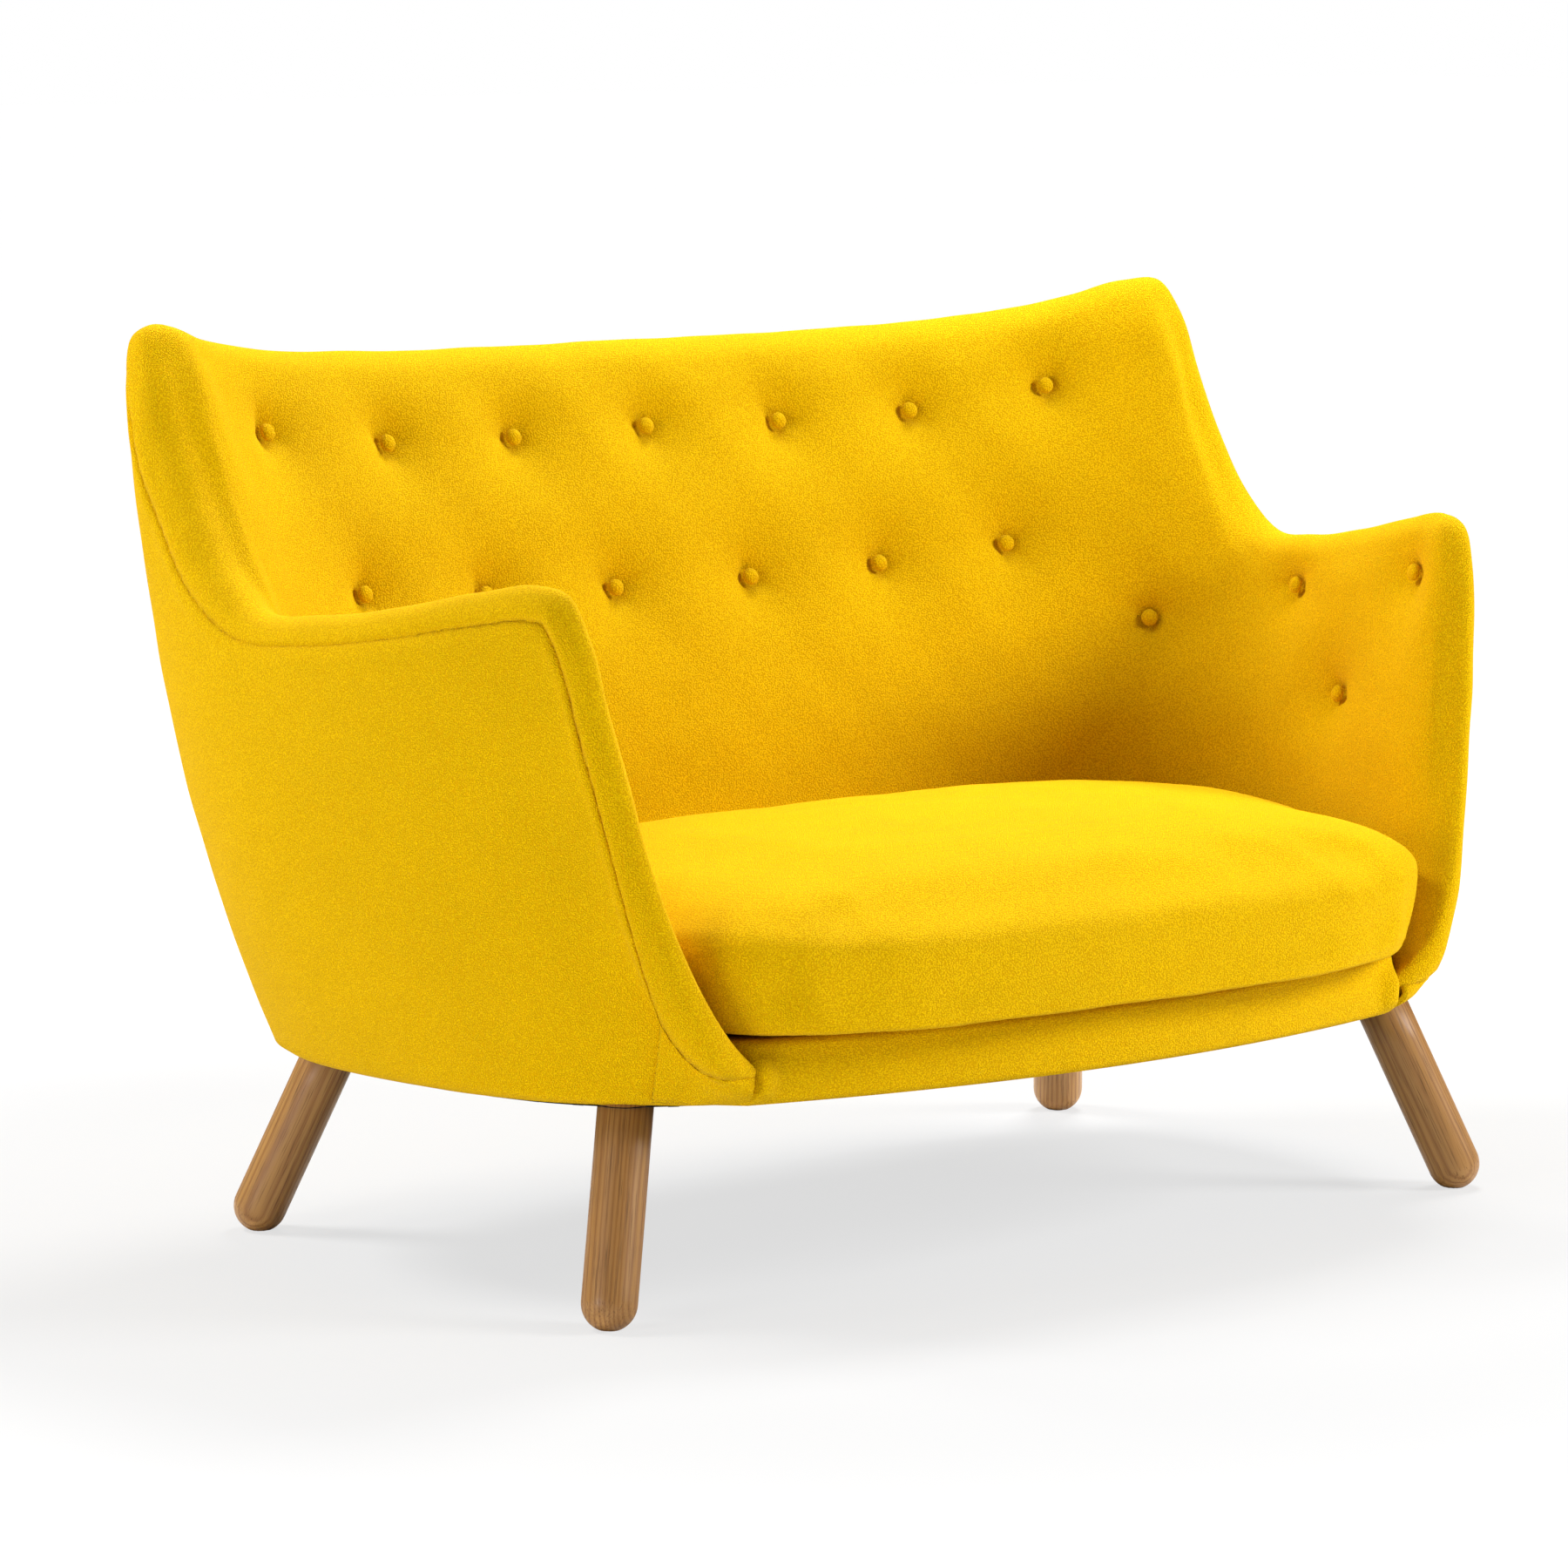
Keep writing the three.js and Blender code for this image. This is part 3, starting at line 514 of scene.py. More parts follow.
def cloth_material(name, groups, colour, gap_shade_colour, pitch, relief, sheen=0.02):
    """Woven cloth, placed by the piece's own axes, with shade painted into the gaps between threads."""
    material, tree, shader = new_material(name, 0.88, Sheen_Weight=sheen, Sheen_Roughness=0.45,
                                          Specular_IOR_Level=0.03)
    source = node(tree, "ShaderNodeTexCoord").outputs["Object"]
    weave = node(tree, "ShaderNodeGroup", node_tree=groups["weave"])
    weave.inputs["Pitch"].default_value = pitch
    link(tree, source, weave.inputs["Vector"])
    lighter = tuple(min(1.0, c * 1.06) for c in colour)
    darker = tuple(c * 0.90 for c in colour)
    ground = mixed(tree, weave.outputs["Patch"], darker, lighter)
    # painted shade: the thread gaps are mixed towards the darker, oranger gap colour
    shade = sum_up(tree, "MULTIPLY", weave.outputs["Gap"], 0.54)
    link(tree, mixed(tree, shade, ground, gap_shade_colour), shader.inputs["Base Color"])
    bumped(tree, shader, weave.outputs["Height"], relief)
    return material


def wood_material(name, groups, light, dark, pore, roughness, seed, direction):
    """Straight-grained wood; direction is the way its grain runs."""
    material, tree, shader = new_material(name, roughness, Coat_Weight=0.05, Coat_Roughness=0.35,
                                          Specular_IOR_Level=0.3)
    place = node(tree, "ShaderNodeTexCoord").outputs["Object"]
    turned = node(tree, "ShaderNodeMapping", vector_type="TEXTURE")
    turned.inputs["Rotation"].default_value = direction.to_track_quat("Z", "Y").to_euler()
    link(tree, place, turned.inputs["Vector"])
    grain = node(tree, "ShaderNodeGroup", node_tree=groups["grain"])
    grain.inputs["Seed"].default_value = seed
    link(tree, turned.outputs[0], grain.inputs["Vector"])
    base = mixed(tree, grain.outputs["Tone"], dark, light)
    ringed = mixed(tree, sum_up(tree, "MULTIPLY", grain.outputs["Ring"], 0.7), base, dark)
    pored = mixed(tree, sum_up(tree, "MULTIPLY", grain.outputs["Pore"], 0.75), ringed, pore)
    link(tree, pored, shader.inputs["Base Color"])
    rough = sum_up(tree, "MULTIPLY_ADD", grain.outputs["Pore"], 0.18, roughness)
    link(tree, rough, shader.inputs["Roughness"])
    bumped(tree, shader, sum_up(tree, "SUBTRACT", 1.0, grain.outputs["Pore"]), 0.0002, 0.5)
    return material


def steel_material(name):
    material, tree, shader = new_material(name, 0.35, Metallic=1.0)
    place = node(tree, "ShaderNodeTexCoord").outputs["Object"]
    dull = noise(tree, place, 240, 3)
    link(tree, mixed(tree, dull, (0.42, 0.43, 0.45), (0.62, 0.63, 0.66)), shader.inputs["Base Color"])
    link(tree, sum_up(tree, "MULTIPLY_ADD", dull, 0.3, 0.2), shader.inputs["Roughness"])
    return material


# ---- sizes and colours a user may change -----------------------------------------------------
def length(name, description, default):
    return bpy.props.FloatProperty(
        name=name, description=description, unit="LENGTH", default=default)


def colour(name, description, default):
    return bpy.props.FloatVectorProperty(
        name=name, description=description, subtype="COLOR", default=default, min=0, max=1)


class SofaCloth(bpy.types.PropertyGroup):
    cover: colour("Cover colour", "Colour of the woven cover", (0.90, 0.570, 0.0))
    # painted shade: the darker, oranger colour laid into the gaps between the threads
    gap: colour("Gap shade colour", "Colour between the threads", (0.46, 0.165, 0.0))
    pitch: length("Thread pitch", "Distance between threads", 0.0017)
    relief: length("Thread relief", "Height of the weave", 0.0007)


class SofaPadding(bpy.types.PropertyGroup):
    dimple: length("Dimple depth", "How deep a button is drawn in", 0.020)
    dimple_radius: length("Dimple radius", "How wide a button pulls the cover", 0.038)
    plump: length("Plumpness", "Rise of the padding between buttons", 0.007)
    cushion_swell: length("Cushion swell", "Most that the cushion's cover moves out", 0.014)
    button_radius: length("Button radius", "Radius of a covered button", 0.0085)
    button_height: length("Button height", "Rise of a covered button", 0.0062)


class SofaStage(bpy.types.PropertyGroup):
    floor: colour("Floor colour", "Colour of the floor", (0.9, 0.9, 0.9))
    key: bpy.props.FloatProperty(
        name="Key light", description="Power of the main light", subtype="POWER", default=220)
    surround: bpy.props.FloatProperty(
        name="Surround", description="Brightness of the white surround", default=0.02, min=0)
    # painted light and shadow: the floor glows white for the camera, and glows less near the sofa, which
    # paints a soft grey shadow round it
    glow: bpy.props.FloatProperty(
        name="Floor glow", description="How far the floor near the sofa is lifted to white",
        default=0.70, min=0)


# ---- shared materials ------------------------------------------------------------------------
finishes = {}


def finish(name):
    """A shared material, made the first time that it is asked for."""
    if not finishes:
        finishes["weave"], finishes["grain"] = weave_group(), grain_group()
    if name in finishes:
        return finishes[name]
    cloth = bpy.context.scene.sofa_cloth
    # the second colour given to each cloth is the shade painted into its thread gaps
    cover, gap = tuple(cloth.cover), tuple(cloth.gap)
    if name == "cover cloth":
        made = cloth_material(name, finishes, cover, gap, cloth.pitch, cloth.relief)
    elif name == "lining cloth":
        made = cloth_material(name, finishes, (0.012, 0.012, 0.013), (0.003, 0.003, 0.003),
                              0.0012, 0.0002, 0.05)
    elif name == "jute webbing":
        made = cloth_material(name, finishes, (0.34, 0.24, 0.12), (0.1, 0.06, 0.03),
                              0.0035, 0.0008)
    elif name == "zinc steel":
        made = steel_material(name)
    elif name == "frame timber":
        made = wood_material(name, finishes, (0.62, 0.42, 0.21), (0.45, 0.27, 0.12),
                             (0.3, 0.16, 0.07), 0.6, 3.1, Vector((1, 0.05, 0)))
    else:
        raise ValueError(name)
    finishes[name] = made
    return made


# ---- the inside cover ------------------------------------------------------------------------
STATION_STEP = 0.0033
INSIDE_ROWS = 112
SEAM_TUCK = 0.0020             # how deep the sewn edges go in
SEAM_REACH = 0.0055            # how far from the seam they start to
PUCKER_RATE = 1450             # puckers along a seam


def station_list(low, high, step=STATION_STEP):
    count = max(int(round((high - low) / step)), 8)
    return np.linspace(low, high, count + 1)


def tuck(distance):
    """Depth of a sewn edge at a distance from its seam."""
    return SEAM_TUCK * np.clip(1 - distance / SEAM_REACH, 0, 1) ** 2


def ripples(points, size=0.0004):
    """Slow unevenness of padding under cloth."""
    x, y, z = points[..., 0], points[..., 1], points[..., 2]
    return size * (
        np.sin(41 * x + 17 * z + 1.3) * np.sin(37 * z - 11 * y + 0.4)
        + 0.7 * np.sin(83 * z + 29 * x - 0.6) * np.sin(61 * x - 47 * y + 2.1)
        + 0.5 * np.sin(23 * y + 53 * z + 0.9) * np.sin(71 * y + 19 * x)
    )


BUTTON_SEAT = 0.0065           # radius of the flat at the bottom of a dimple
HOLD_RADIUS = 0.070            # how far a button keeps the padding from rising
FOLD_RING = 0.019              # where the folds round a button are deepest
FOLD_WIDTH = 0.011
FOLD_DEPTH = 0.0014
SLIDE_RADIUS = 0.024           # how far the cloth slides towards a button
SOFA_HEART = np.array([0, -0.06, 0.48])    # every button faces this side


def button_places():
    """Name, point and inward normal of every button, on the frame's inside face."""
    spots = [MIDDLE_BUTTON]
    for name, t, v in BUTTONS:
        spots += [(f"{name}_{side}", sign * t, v) for side, sign in SIDES]
    places = []
    for name, t, v in spots:
        step = 0.004
        near = Section(np.array([t - step, t, t + step]))
        rows = np.array([near.faces(np.full(3, v + d))[1] for d in (-step, 0, step)])
        run = rows[1, 2] - rows[1, 0]
        down = rows[2, 1] - rows[0, 1]
        normal = unit(np.cross(run, down))
        point = rows[1, 1]
        if normal @ (SOFA_HEART - point) < 0:
            normal = -normal
        places.append((name, point, normal))
    return places


def tufted(points, normals, free, settings):
    """Draws the cover in at each button, and lets the padding rise between them."""
    pull = np.zeros(points.shape[:-1])
    slide = np.zeros_like(points)
    hold = np.ones(points.shape[:-1])
    for index, (_, place, facing) in enumerate(button_places()):
        away = points - place
        off = away @ facing
        flat = away - off[..., None] * facing
        r = np.linalg.norm(away, axis=-1)
        # a round seat under the button, then a cone that flares out
        seat = np.clip((r - BUTTON_SEAT) / settings.dimple_radius, 0, None)
        cone = np.exp(-seat ** 1.05 * 1.9)
        wide = np.exp(-(r / HOLD_RADIUS) ** 2)
        side = unit(np.cross(facing, np.array([0, 0, 1.0])))
        up = np.cross(side, facing)
        angle = np.arctan2(flat @ up, flat @ side)
        folds = np.sin(5 * angle + index * 1.7) * 0.5 + np.sin(3 * angle - index * 2.3) * 0.5
        crease = FOLD_DEPTH * folds * np.exp(-((r - FOLD_RING) / FOLD_WIDTH) ** 2)
        pull = np.maximum(pull, settings.dimple * cone * (1 - 0.22 * (1 - wide))) + crease
        hold *= 1 - 0.9 * wide
        slide -= flat * (0.30 * np.exp(-(r / SLIDE_RADIUS) ** 2))[..., None]
    rise = settings.plump * hold * free
    return points + slide * free[..., None] + normals * (rise - pull * free)[..., None]


def inside_cover():
    """One cover over the padded inside, the rim and the first hand's width of the outside."""
    settings = bpy.context.scene.sofa_padding
    t = station_list(-1, 1)
    section = Section(t)
    seam = seam_arc(t)
    outside_steps = 1 - np.linspace(0, 1, 12) ** 0.85
    strip = np.array([section.rounded(seam * s, True) for s in outside_steps])
    arc_steps = np.linspace(0, RIM_QUARTER, 11)[1:]
    over = np.array([section.rounded(a, False) for a in arc_steps])
    top = section.share(RIM_RADIUS)
    down_steps = np.linspace(0, 1, INSIDE_ROWS + 1)[1:]
    down = np.array([section.at(top + (1 - top) * s, 1.0, False) for s in down_steps])
    front = np.concatenate([strip, over, down]).transpose(1, 0, 2)
    below_rim = np.arange(front.shape[1])[None] - len(strip) - len(over)
    even = ramp(below_rim, 0, 45) * ramp(-np.abs(t), -0.99, -0.92)[:, None]
    front = relaxed(front, even, 10.0)
    below_roll = ramp(below_rim, -len(over) + 3, 4) * np.ones((len(t), 1))
    front = relaxed_down(front, below_roll, 4.5)
    normals = grid_normals(front)
    middle = len(t) // 2
    if normals[middle, -40] @ np.array([0, -1, 0]) < 0:
        normals = -normals
    run = run_along(front, 1)
    total = run[:, -1:]
    from_rim = run - run[:, len(strip) - 1:len(strip)]
    inside = ramp(from_rim, 0.015, 0.075)
    above_seat = ramp(front[..., 2], SEAT_DECK + 0.09, SEAT_DECK + 0.20)
    free = inside * ramp(-np.abs(t), -0.955, -0.86)[:, None] * above_seat
    shaped = tufted(front, normals, free, settings)
    # sewn edge along the outside, and a gentle fulness of the roll beside it
    pucker = 0.0005 * np.sin((t * PUCKER_RATE)[:, None] * 0.42) * np.exp(-run / 0.010)
    roll = 0.0012 * np.exp(-((run - 0.015) / 0.009) ** 2)
    shaped += normals * (roll + pucker - tuck(run))[..., None]
    # a dart from each corner button down to the seat
    below = np.clip(below_rim / INSIDE_ROWS - CORNER_SHARE, 0, 0.08) / 0.08
    dart = np.exp(-(((np.abs(t)[:, None] - CORNER_STATION) * 1.15) / 0.0055) ** 2) * below
    shaped -= normals * (0.0014 * dart)[..., None]
    loose = np.clip((total - run) / 0.05, 0, 1) * (run > 0.008)
    shaped += normals * (ripples(shaped) * loose)[..., None]
    # hidden back of the padding
    hidden = []
    for s in (1.0, 0.9, 0.7, 0.5, 0.3, 0.12, 0.0):
        v = section.share(0.034) * (1 - s) + s * 0.985
        outer, inner = section.faces(v)
        thick = np.linalg.norm(outer - inner, axis=1)
        cover = np.minimum(0.007, 0.16 * thick)
        timber = cover + 0.0022 + np.minimum(0.018, 0.38 * thick)
        depth = np.where(np.abs(t) < 0.93, np.maximum(timber + 0.0022, thick - 0.040), cover + 0.002)
        hidden.append(outer + (inner - outer) * (depth / np.maximum(thick, 1e-6))[:, None])
    inward = shaped[:, :1] - normals[:, :1] * 0.004
    back = np.concatenate([np.array(hidden).transpose(1, 0, 2), inward], axis=1)
    rings = shifted(np.concatenate([shaped, back], axis=1))
    piece = lofted("inside_cover", rings, finish("cover cloth"))
    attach(piece, SOFA)
    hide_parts("back_pad", "left_arm_pad", "right_arm_pad", "back_edge_roll",
                "left_edge_roll", "right_edge_roll")


# ---- the outside covers ----------------------------------------------------------------------
OUTSIDE_ROWS = 74
HEM_RADIUS = 0.009
COVER_THICK = 0.0055


def outside_cover(name, low, high, node_name):
    """One outside cover between two stations, from the seam under the rim to the hem."""
    t = station_list(low, high, 0.0036)
    section = Section(t)
    start = section.rounded(seam_arc(t), True)
    seam_drop = evenly(SEAM_DROP, t)[:, 0] * MM
    angle = np.arccos(np.clip(1 - np.minimum(seam_drop, RIM_RADIUS) / RIM_RADIUS, -1, 1))
    top = section.share(seam_drop)
    rows = [start]
    for s in np.linspace(0, 1, OUTSIDE_ROWS + 1)[1:] ** 1.12:
        v = top + (1 - top) * s
        openness = np.maximum(section.openness(v), np.sin(angle))
        rows.append(section.at(v, openness, True))
    front = np.array(rows).transpose(1, 0, 2)
    even = ramp(np.arange(front.shape[1])[None], 0, 30) * ramp(-np.abs(t), -0.995, -0.93)[:, None]
    joined = np.abs(np.abs(t) - BACK_END)[:, None]
    forward = ramp(np.abs(t), 0.52, 0.68)[:, None]
    front = relaxed(front, even * ramp(joined, 0, 0.04) * (1 - forward), 7.0)
    front = relaxed(front, even * forward, 17.0)
    front = relaxed_down(front, np.broadcast_to(even, front.shape[:2]), 3.0)
    normals = grid_normals(front)
    outward = across(t)
    sign = np.where(np.sum(normals[:, 30] * outward, axis=1) < 0, -1, 1)
    normals *= sign[:, None, None]
    run = run_along(front, 1)
    height = front[..., 2] - UNDERSIDE
    hem = np.clip(1 - height / HEM_RADIUS, 0, 1)
    inset = HEM_RADIUS * (1 - np.sqrt(1 - hem ** 2))
    side_run = run_along(front, 0)
    edge = np.full(front.shape[:2], 1.0)
    if abs(low) < 0.999:
        edge = np.minimum(edge, side_run)
    if abs(high) < 0.999:
        edge = np.minimum(edge, side_run[-1:] - side_run)
    sewn = np.maximum(tuck(run + 0.0002), tuck(edge + 0.0002) * 0.75)
    plump = 0.0012 * np.exp(-((run - 0.014) / 0.008) ** 2)
    pucker = 0.0004 * np.sin((t * PUCKER_RATE)[:, None] * 0.45 + 0.8) * np.exp(-run / 0.009)
    loose = ripples(front, 0.0003) * np.minimum(run / 0.04, 1)
    shaped = front + normals * (plump + pucker - sewn + loose)[..., None]
    shaped -= base_normal(t)[:, None] * inset[..., None]
    under = shaped[:, -1:] - base_normal(t)[:, None] * 0.004
    picks = [s for s in range(front.shape[1] - 6, 0, -12)] + [0]
    inner = shaped[:, picks] - normals[:, picks] * COVER_THICK
    rings = shifted(np.concatenate([shaped, under, inner], axis=1))
    piece = lofted(name, rings, finish("cover cloth"))
    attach(piece, SOFA)
    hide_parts(node_name)


# ---- front apron -----------------------------------------------------------------------------
APRON_END = 0.378
APRON_BOW = 0.051
APRON_CORNER_Y = -0.327
APRON_TURN = 0.393             # from here out, its ends bend back into the arms
APRON_REACH = 0.452
APRON_BEND = 0.80
APRON_SWELL = 0.0095           # how far it comes forward beside the tip of each arm
APRON_SWELL_X = 0.387
APRON_SWELL_WIDTH = 0.014


def apron_y(x):
    return APRON_CORNER_Y - APRON_BOW * (1 - (x / APRON_END) ** 2)


def front_apron():
    """Padded cover of the front rail, tucked behind the arms at its ends."""
    x = np.linspace(-APRON_REACH, APRON_REACH, 197)
    low, high = UNDERSIDE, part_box("front_apron")[1].z
    corner = 0.008
    face = [(0.013, low - 0.0005), (0.008, low - 0.0008)]
    for a in np.linspace(0, math.pi / 2, 6):
        face.append((corner * (1 - math.sin(a)), low + corner * (1 - math.cos(a))))
    for s in np.linspace(0, 1, 14)[1:-1]:
        face.append((-0.0022 * math.sin(math.pi * s), low + corner + s * (high - low - 2 * corner)))
    for a in np.linspace(0, math.pi / 2, 7):
        face.append((corner * (1 - math.cos(a)) * 1.2, high - corner * (1 - math.sin(a))))
    face += [(0.020, high), (0.032, high), (0.045, high)]
    back = [(0.045, high - 0.014), (0.0135, high - 0.014), (0.0135, low + 0.006)]
    profile = np.array(face + back)
    rings = np.empty((len(x), len(profile), 3))
    rings[..., 0] = x[:, None]
    bend = APRON_BEND * np.clip(np.abs(x) - APRON_TURN, 0, None)
    rings[..., 1] = (apron_y(x) + bend)[:, None] + profile[None, :, 0]
    rings[..., 2] = profile[None, :, 1]
    count = len(face)
    cloth = np.zeros(len(profile))
    cloth[2:count - 3] = 1
    # it swells forward to meet the tip of each arm
    up = profile[:, 1] - low
    swollen = ramp(up, 0, 0.014) * ramp(-up, -0.052, -0.030) * cloth
    beside_tip = np.exp(-((np.abs(x) - APRON_SWELL_X) / APRON_SWELL_WIDTH) ** 2)
    rings[..., 1] -= APRON_SWELL * beside_tip[:, None] * swollen
    rings[..., 1] += ripples(rings, 0.0003) * cloth[None]
    piece = lofted("front_apron_cover", shifted(rings), finish("cover cloth"))
    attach(piece, SOFA)
    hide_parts("front_apron")


# ---- seat cushion ----------------------------------------------------------------------------
CUSHION_VOXEL = 0.008
CUSHION_CROWN = 0.013          # how far its cover rises above the foam
CLOTH_FRAMES = 20


def cad_copy(node_name, name):
    """A welded copy of a CAD node's mesh."""
    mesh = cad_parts[node_name].data.copy()
    mesh.name = name
    piece = bpy.data.objects.new(name, mesh)
    bpy.context.scene.collection.objects.link(piece)
    bm = bmesh.new()
    bm.from_mesh(mesh)
    bmesh.ops.remove_doubles(bm, verts=bm.verts, dist=1e-5)
    bm.to_mesh(mesh)
    bm.free()
    return piece


def positions(mesh):
    co = np.empty(len(mesh.vertices) * 3)
    mesh.vertices.foreach_get("co", co)
    return co.reshape(-1, 3)


def normals_of(mesh):
    out = np.empty(len(mesh.vertices) * 3)
    mesh.vertex_normals.foreach_get("vector", out)
    return out.reshape(-1, 3)


def bake(piece):
    """Turns a piece's modifiers into plain mesh."""
    graph = bpy.context.evaluated_depsgraph_get()
    made = bpy.data.meshes.new_from_object(piece.evaluated_get(graph), depsgraph=graph)
    old = piece.data
    piece.modifiers.clear()
    piece.data = made
    bpy.data.meshes.remove(old)


def modified(piece, kind, **settings):
    modifier = piece.modifiers.new(kind.lower(), kind)
    for key, value in settings.items():
        setattr(modifier, key, value)
    return modifier


def inflated(piece, pressure, cap):
    """Blows the cover up as cloth, and stops any point that would go further than the cap."""
    scene = bpy.context.scene
    start = positions(piece.data)
    cloth = modified(piece, "CLOTH")
    settings = cloth.settings
    settings.quality = 5
    settings.mass = 0.3
    settings.tension_stiffness = 25
    settings.compression_stiffness = 25
    settings.shear_stiffness = 8
    settings.bending_stiffness = 6.0
    settings.use_pressure = True
    settings.uniform_pressure_force = pressure
    settings.effector_weights.gravity = 0
    settings.vertex_group_mass = "held"
    cloth.collision_settings.use_collision = False
    cloth.point_cache.frame_start = 1
    cloth.point_cache.frame_end = CLOTH_FRAMES
    for number in range(1, CLOTH_FRAMES + 1):
        scene.frame_set(number)
    bake(piece)
    scene.frame_set(1)
    end = positions(piece.data)
    moved = end - start
    length = np.linalg.norm(moved, axis=1, keepdims=True)
    return start + moved * np.minimum(1, cap / np.maximum(length, 1e-9))


def store(mesh, points):
    mesh.vertices.foreach_set("co", np.asarray(points, np.float32).ravel())
    mesh.update()


def seat_cushion():
    """Loose foam cushion in one cover: crowned top, soft front, boxed sides and a low seam."""
    settings = bpy.context.scene.sofa_padding
    low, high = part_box("seat_cushion")
    piece = cad_copy("seat_cushion", "seat_cushion_cover")
    modified(piece, "REMESH", mode="VOXEL", voxel_size=CUSHION_VOXEL, adaptivity=0)
    bake(piece)
    modified(piece, "SMOOTH", factor=0.5, iterations=10)
    bake(piece)
    points = positions(piece.data)
    held = piece.vertex_groups.new(name="held")
    for index in np.nonzero(points[:, 2] < low.z + 0.014)[0]:
        held.add([int(index)], 1.0, "REPLACE")
    points = inflated(piece, 4.0, settings.cushion_swell)
    store(piece.data, points)
    modified(piece, "SMOOTH", factor=0.5, iterations=14)
    bake(piece)
    modified(piece, "SUBSURF", levels=1, render_levels=1)
    bake(piece)
    points = positions(piece.data)
    # settle into the space that the frame keeps for it
    box_low, box_high = points.min(0), points.max(0)
    target_low = np.array([low.x + 0.002, low.y, low.z])
    target_high = np.array([high.x - 0.002, high.y - 0.002, high.z + CUSHION_CROWN])
    points = target_low + (points - box_low) / (box_high - box_low) * (target_high - target_low)
    rise = (points[:, 2] - target_low[2]) / (target_high[2] - target_low[2])
    points[:, 0] *= 1 - 0.030 * np.clip(1 - rise / 0.75, 0, 1) ** 1.3
    store(piece.data, points)
    sew_cushion(piece, low, high)
    for polygon in piece.data.polygons:
        polygon.use_smooth = True
    piece.data.materials.clear()
    piece.data.materials.append(finish("cover cloth"))
    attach(piece, CUSHION)
    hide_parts("seat_cushion")


def groove(distance, width, depth):
    return depth * np.exp(-(distance / width) ** 2)


def sew_cushion(piece, low, high):
    """Low seam all round, side seams down the front corners, and a lip over the low seam."""
    mesh = piece.data
    points, normals = positions(mesh), normals_of(mesh)
    sideways = np.clip(1.25 - np.abs(normals[:, 2]) * 1.25, 0, 1)
    bottom_seam = groove(points[:, 2] - (low.z + 0.010), 0.0032, 0.0028) * sideways
    corner_x = 0.93 * high.x
    front = np.clip((-points[:, 1] - 0.20) / 0.05, 0, 1)
    side_seam = groove(np.abs(points[:, 0]) - corner_x, 0.0045, 0.0042) * front * sideways
    upper_edge = high.z - 0.052
    rear = 1 - np.clip((-points[:, 1] - 0.27) / 0.03, 0, 1)
    top_seam = groove(points[:, 2] - upper_edge, 0.0030, 0.0020) * sideways * rear
    points = points - normals * (bottom_seam + side_seam + top_seam)[:, None]
    lip = 0.0055 * np.exp(-((points[:, 2] - low.z - 0.004) / 0.009) ** 2)
    level = np.column_stack([normals[:, :2], np.zeros(len(points))])
    lip *= np.clip(-points[:, 1] / 0.2, 0, 1) * (sideways > 0.05)
    points += unit(level) * lip[:, None]
    points += normals * (ripples(points, 0.0004))[:, None]
    points[:, 2] = np.maximum(points[:, 2], low.z)
    store(mesh, points)


# ---- covered buttons -------------------------------------------------------------------------
def geometry_tree(name, sockets):
    tree = bpy.data.node_groups.new(name, "GeometryNodeTree")
    tree.interface.new_socket("Geometry", in_out="INPUT", socket_type="NodeSocketGeometry")
    for label, kind, value in sockets:
        socket = tree.interface.new_socket(label, in_out="INPUT", socket_type=kind)
        if value is not None:
            socket.default_value = value
    tree.interface.new_socket("Geometry", in_out="OUTPUT", socket_type="NodeSocketGeometry")
    return tree, node(tree, "NodeGroupInput"), node(tree, "NodeGroupOutput")


def set_input(modifier, tree, label, value):
    for item in tree.interface.items_tree:
        if item.name == label and item.in_out == "INPUT":
            modifier[item.identifier] = value
            return
    raise KeyError(label)


def scatter_tree():
    """Places one shape on every point, turned along the point's own direction."""
    tree, given, out = geometry_tree("shape on each point", [
        ("Shape", "NodeSocketObject", None),
        ("Material", "NodeSocketMaterial", None),
        ("Size", "NodeSocketFloat", 1.0),
    ])
    shape = node(tree, "GeometryNodeObjectInfo")
    link(tree, given.outputs["Shape"], shape.inputs["Object"])
    facing = node(tree, "GeometryNodeInputNamedAttribute", data_type="FLOAT_VECTOR")
    facing.inputs["Name"].default_value = "facing"
    turn = node(tree, "FunctionNodeAlignRotationToVector", axis="Z")
    link(tree, facing.outputs["Attribute"], turn.inputs["Vector"])
    points = node(tree, "GeometryNodeMeshToPoints")
    link(tree, given.outputs["Geometry"], points.inputs["Mesh"])
    placed = node(tree, "GeometryNodeInstanceOnPoints")
    link(tree, points.outputs[0], placed.inputs["Points"])
    link(tree, shape.outputs["Geometry"], placed.inputs["Instance"])
    link(tree, turn.outputs[0], placed.inputs["Rotation"])
    link(tree, given.outputs["Size"], placed.inputs["Scale"])
    real = node(tree, "GeometryNodeRealizeInstances")
    link(tree, placed.outputs[0], real.inputs[0])
    look = node(tree, "GeometryNodeSetMaterial")
    link(tree, real.outputs[0], look.inputs["Geometry"])
    link(tree, given.outputs["Material"], look.inputs["Material"])
    link(tree, look.outputs[0], out.inputs["Geometry"])
    return tree


def placed_on(name, spots, directions, shape, material):
    """Realised copies of a shape at the spots, as one plain mesh."""
    mesh = bpy.data.meshes.new(name)
    mesh.from_pydata([tuple(p) for p in spots], [], [])
    facing = mesh.attributes.new("facing", "FLOAT_VECTOR", "POINT")
    facing.data.foreach_set("vector", np.asarray(directions, np.float32).ravel())
    piece = bpy.data.objects.new(name, mesh)
    bpy.context.scene.collection.objects.link(piece)
    tree = bpy.data.node_groups.get("shape on each point") or scatter_tree()
    modifier = piece.modifiers.new("placed", "NODES")
    modifier.node_group = tree
    set_input(modifier, tree, "Shape", shape)
    set_input(modifier, tree, "Material", material)
    bake(piece)
    made = piece.data
    made.name = name
    bpy.data.objects.remove(shape)
    return piece


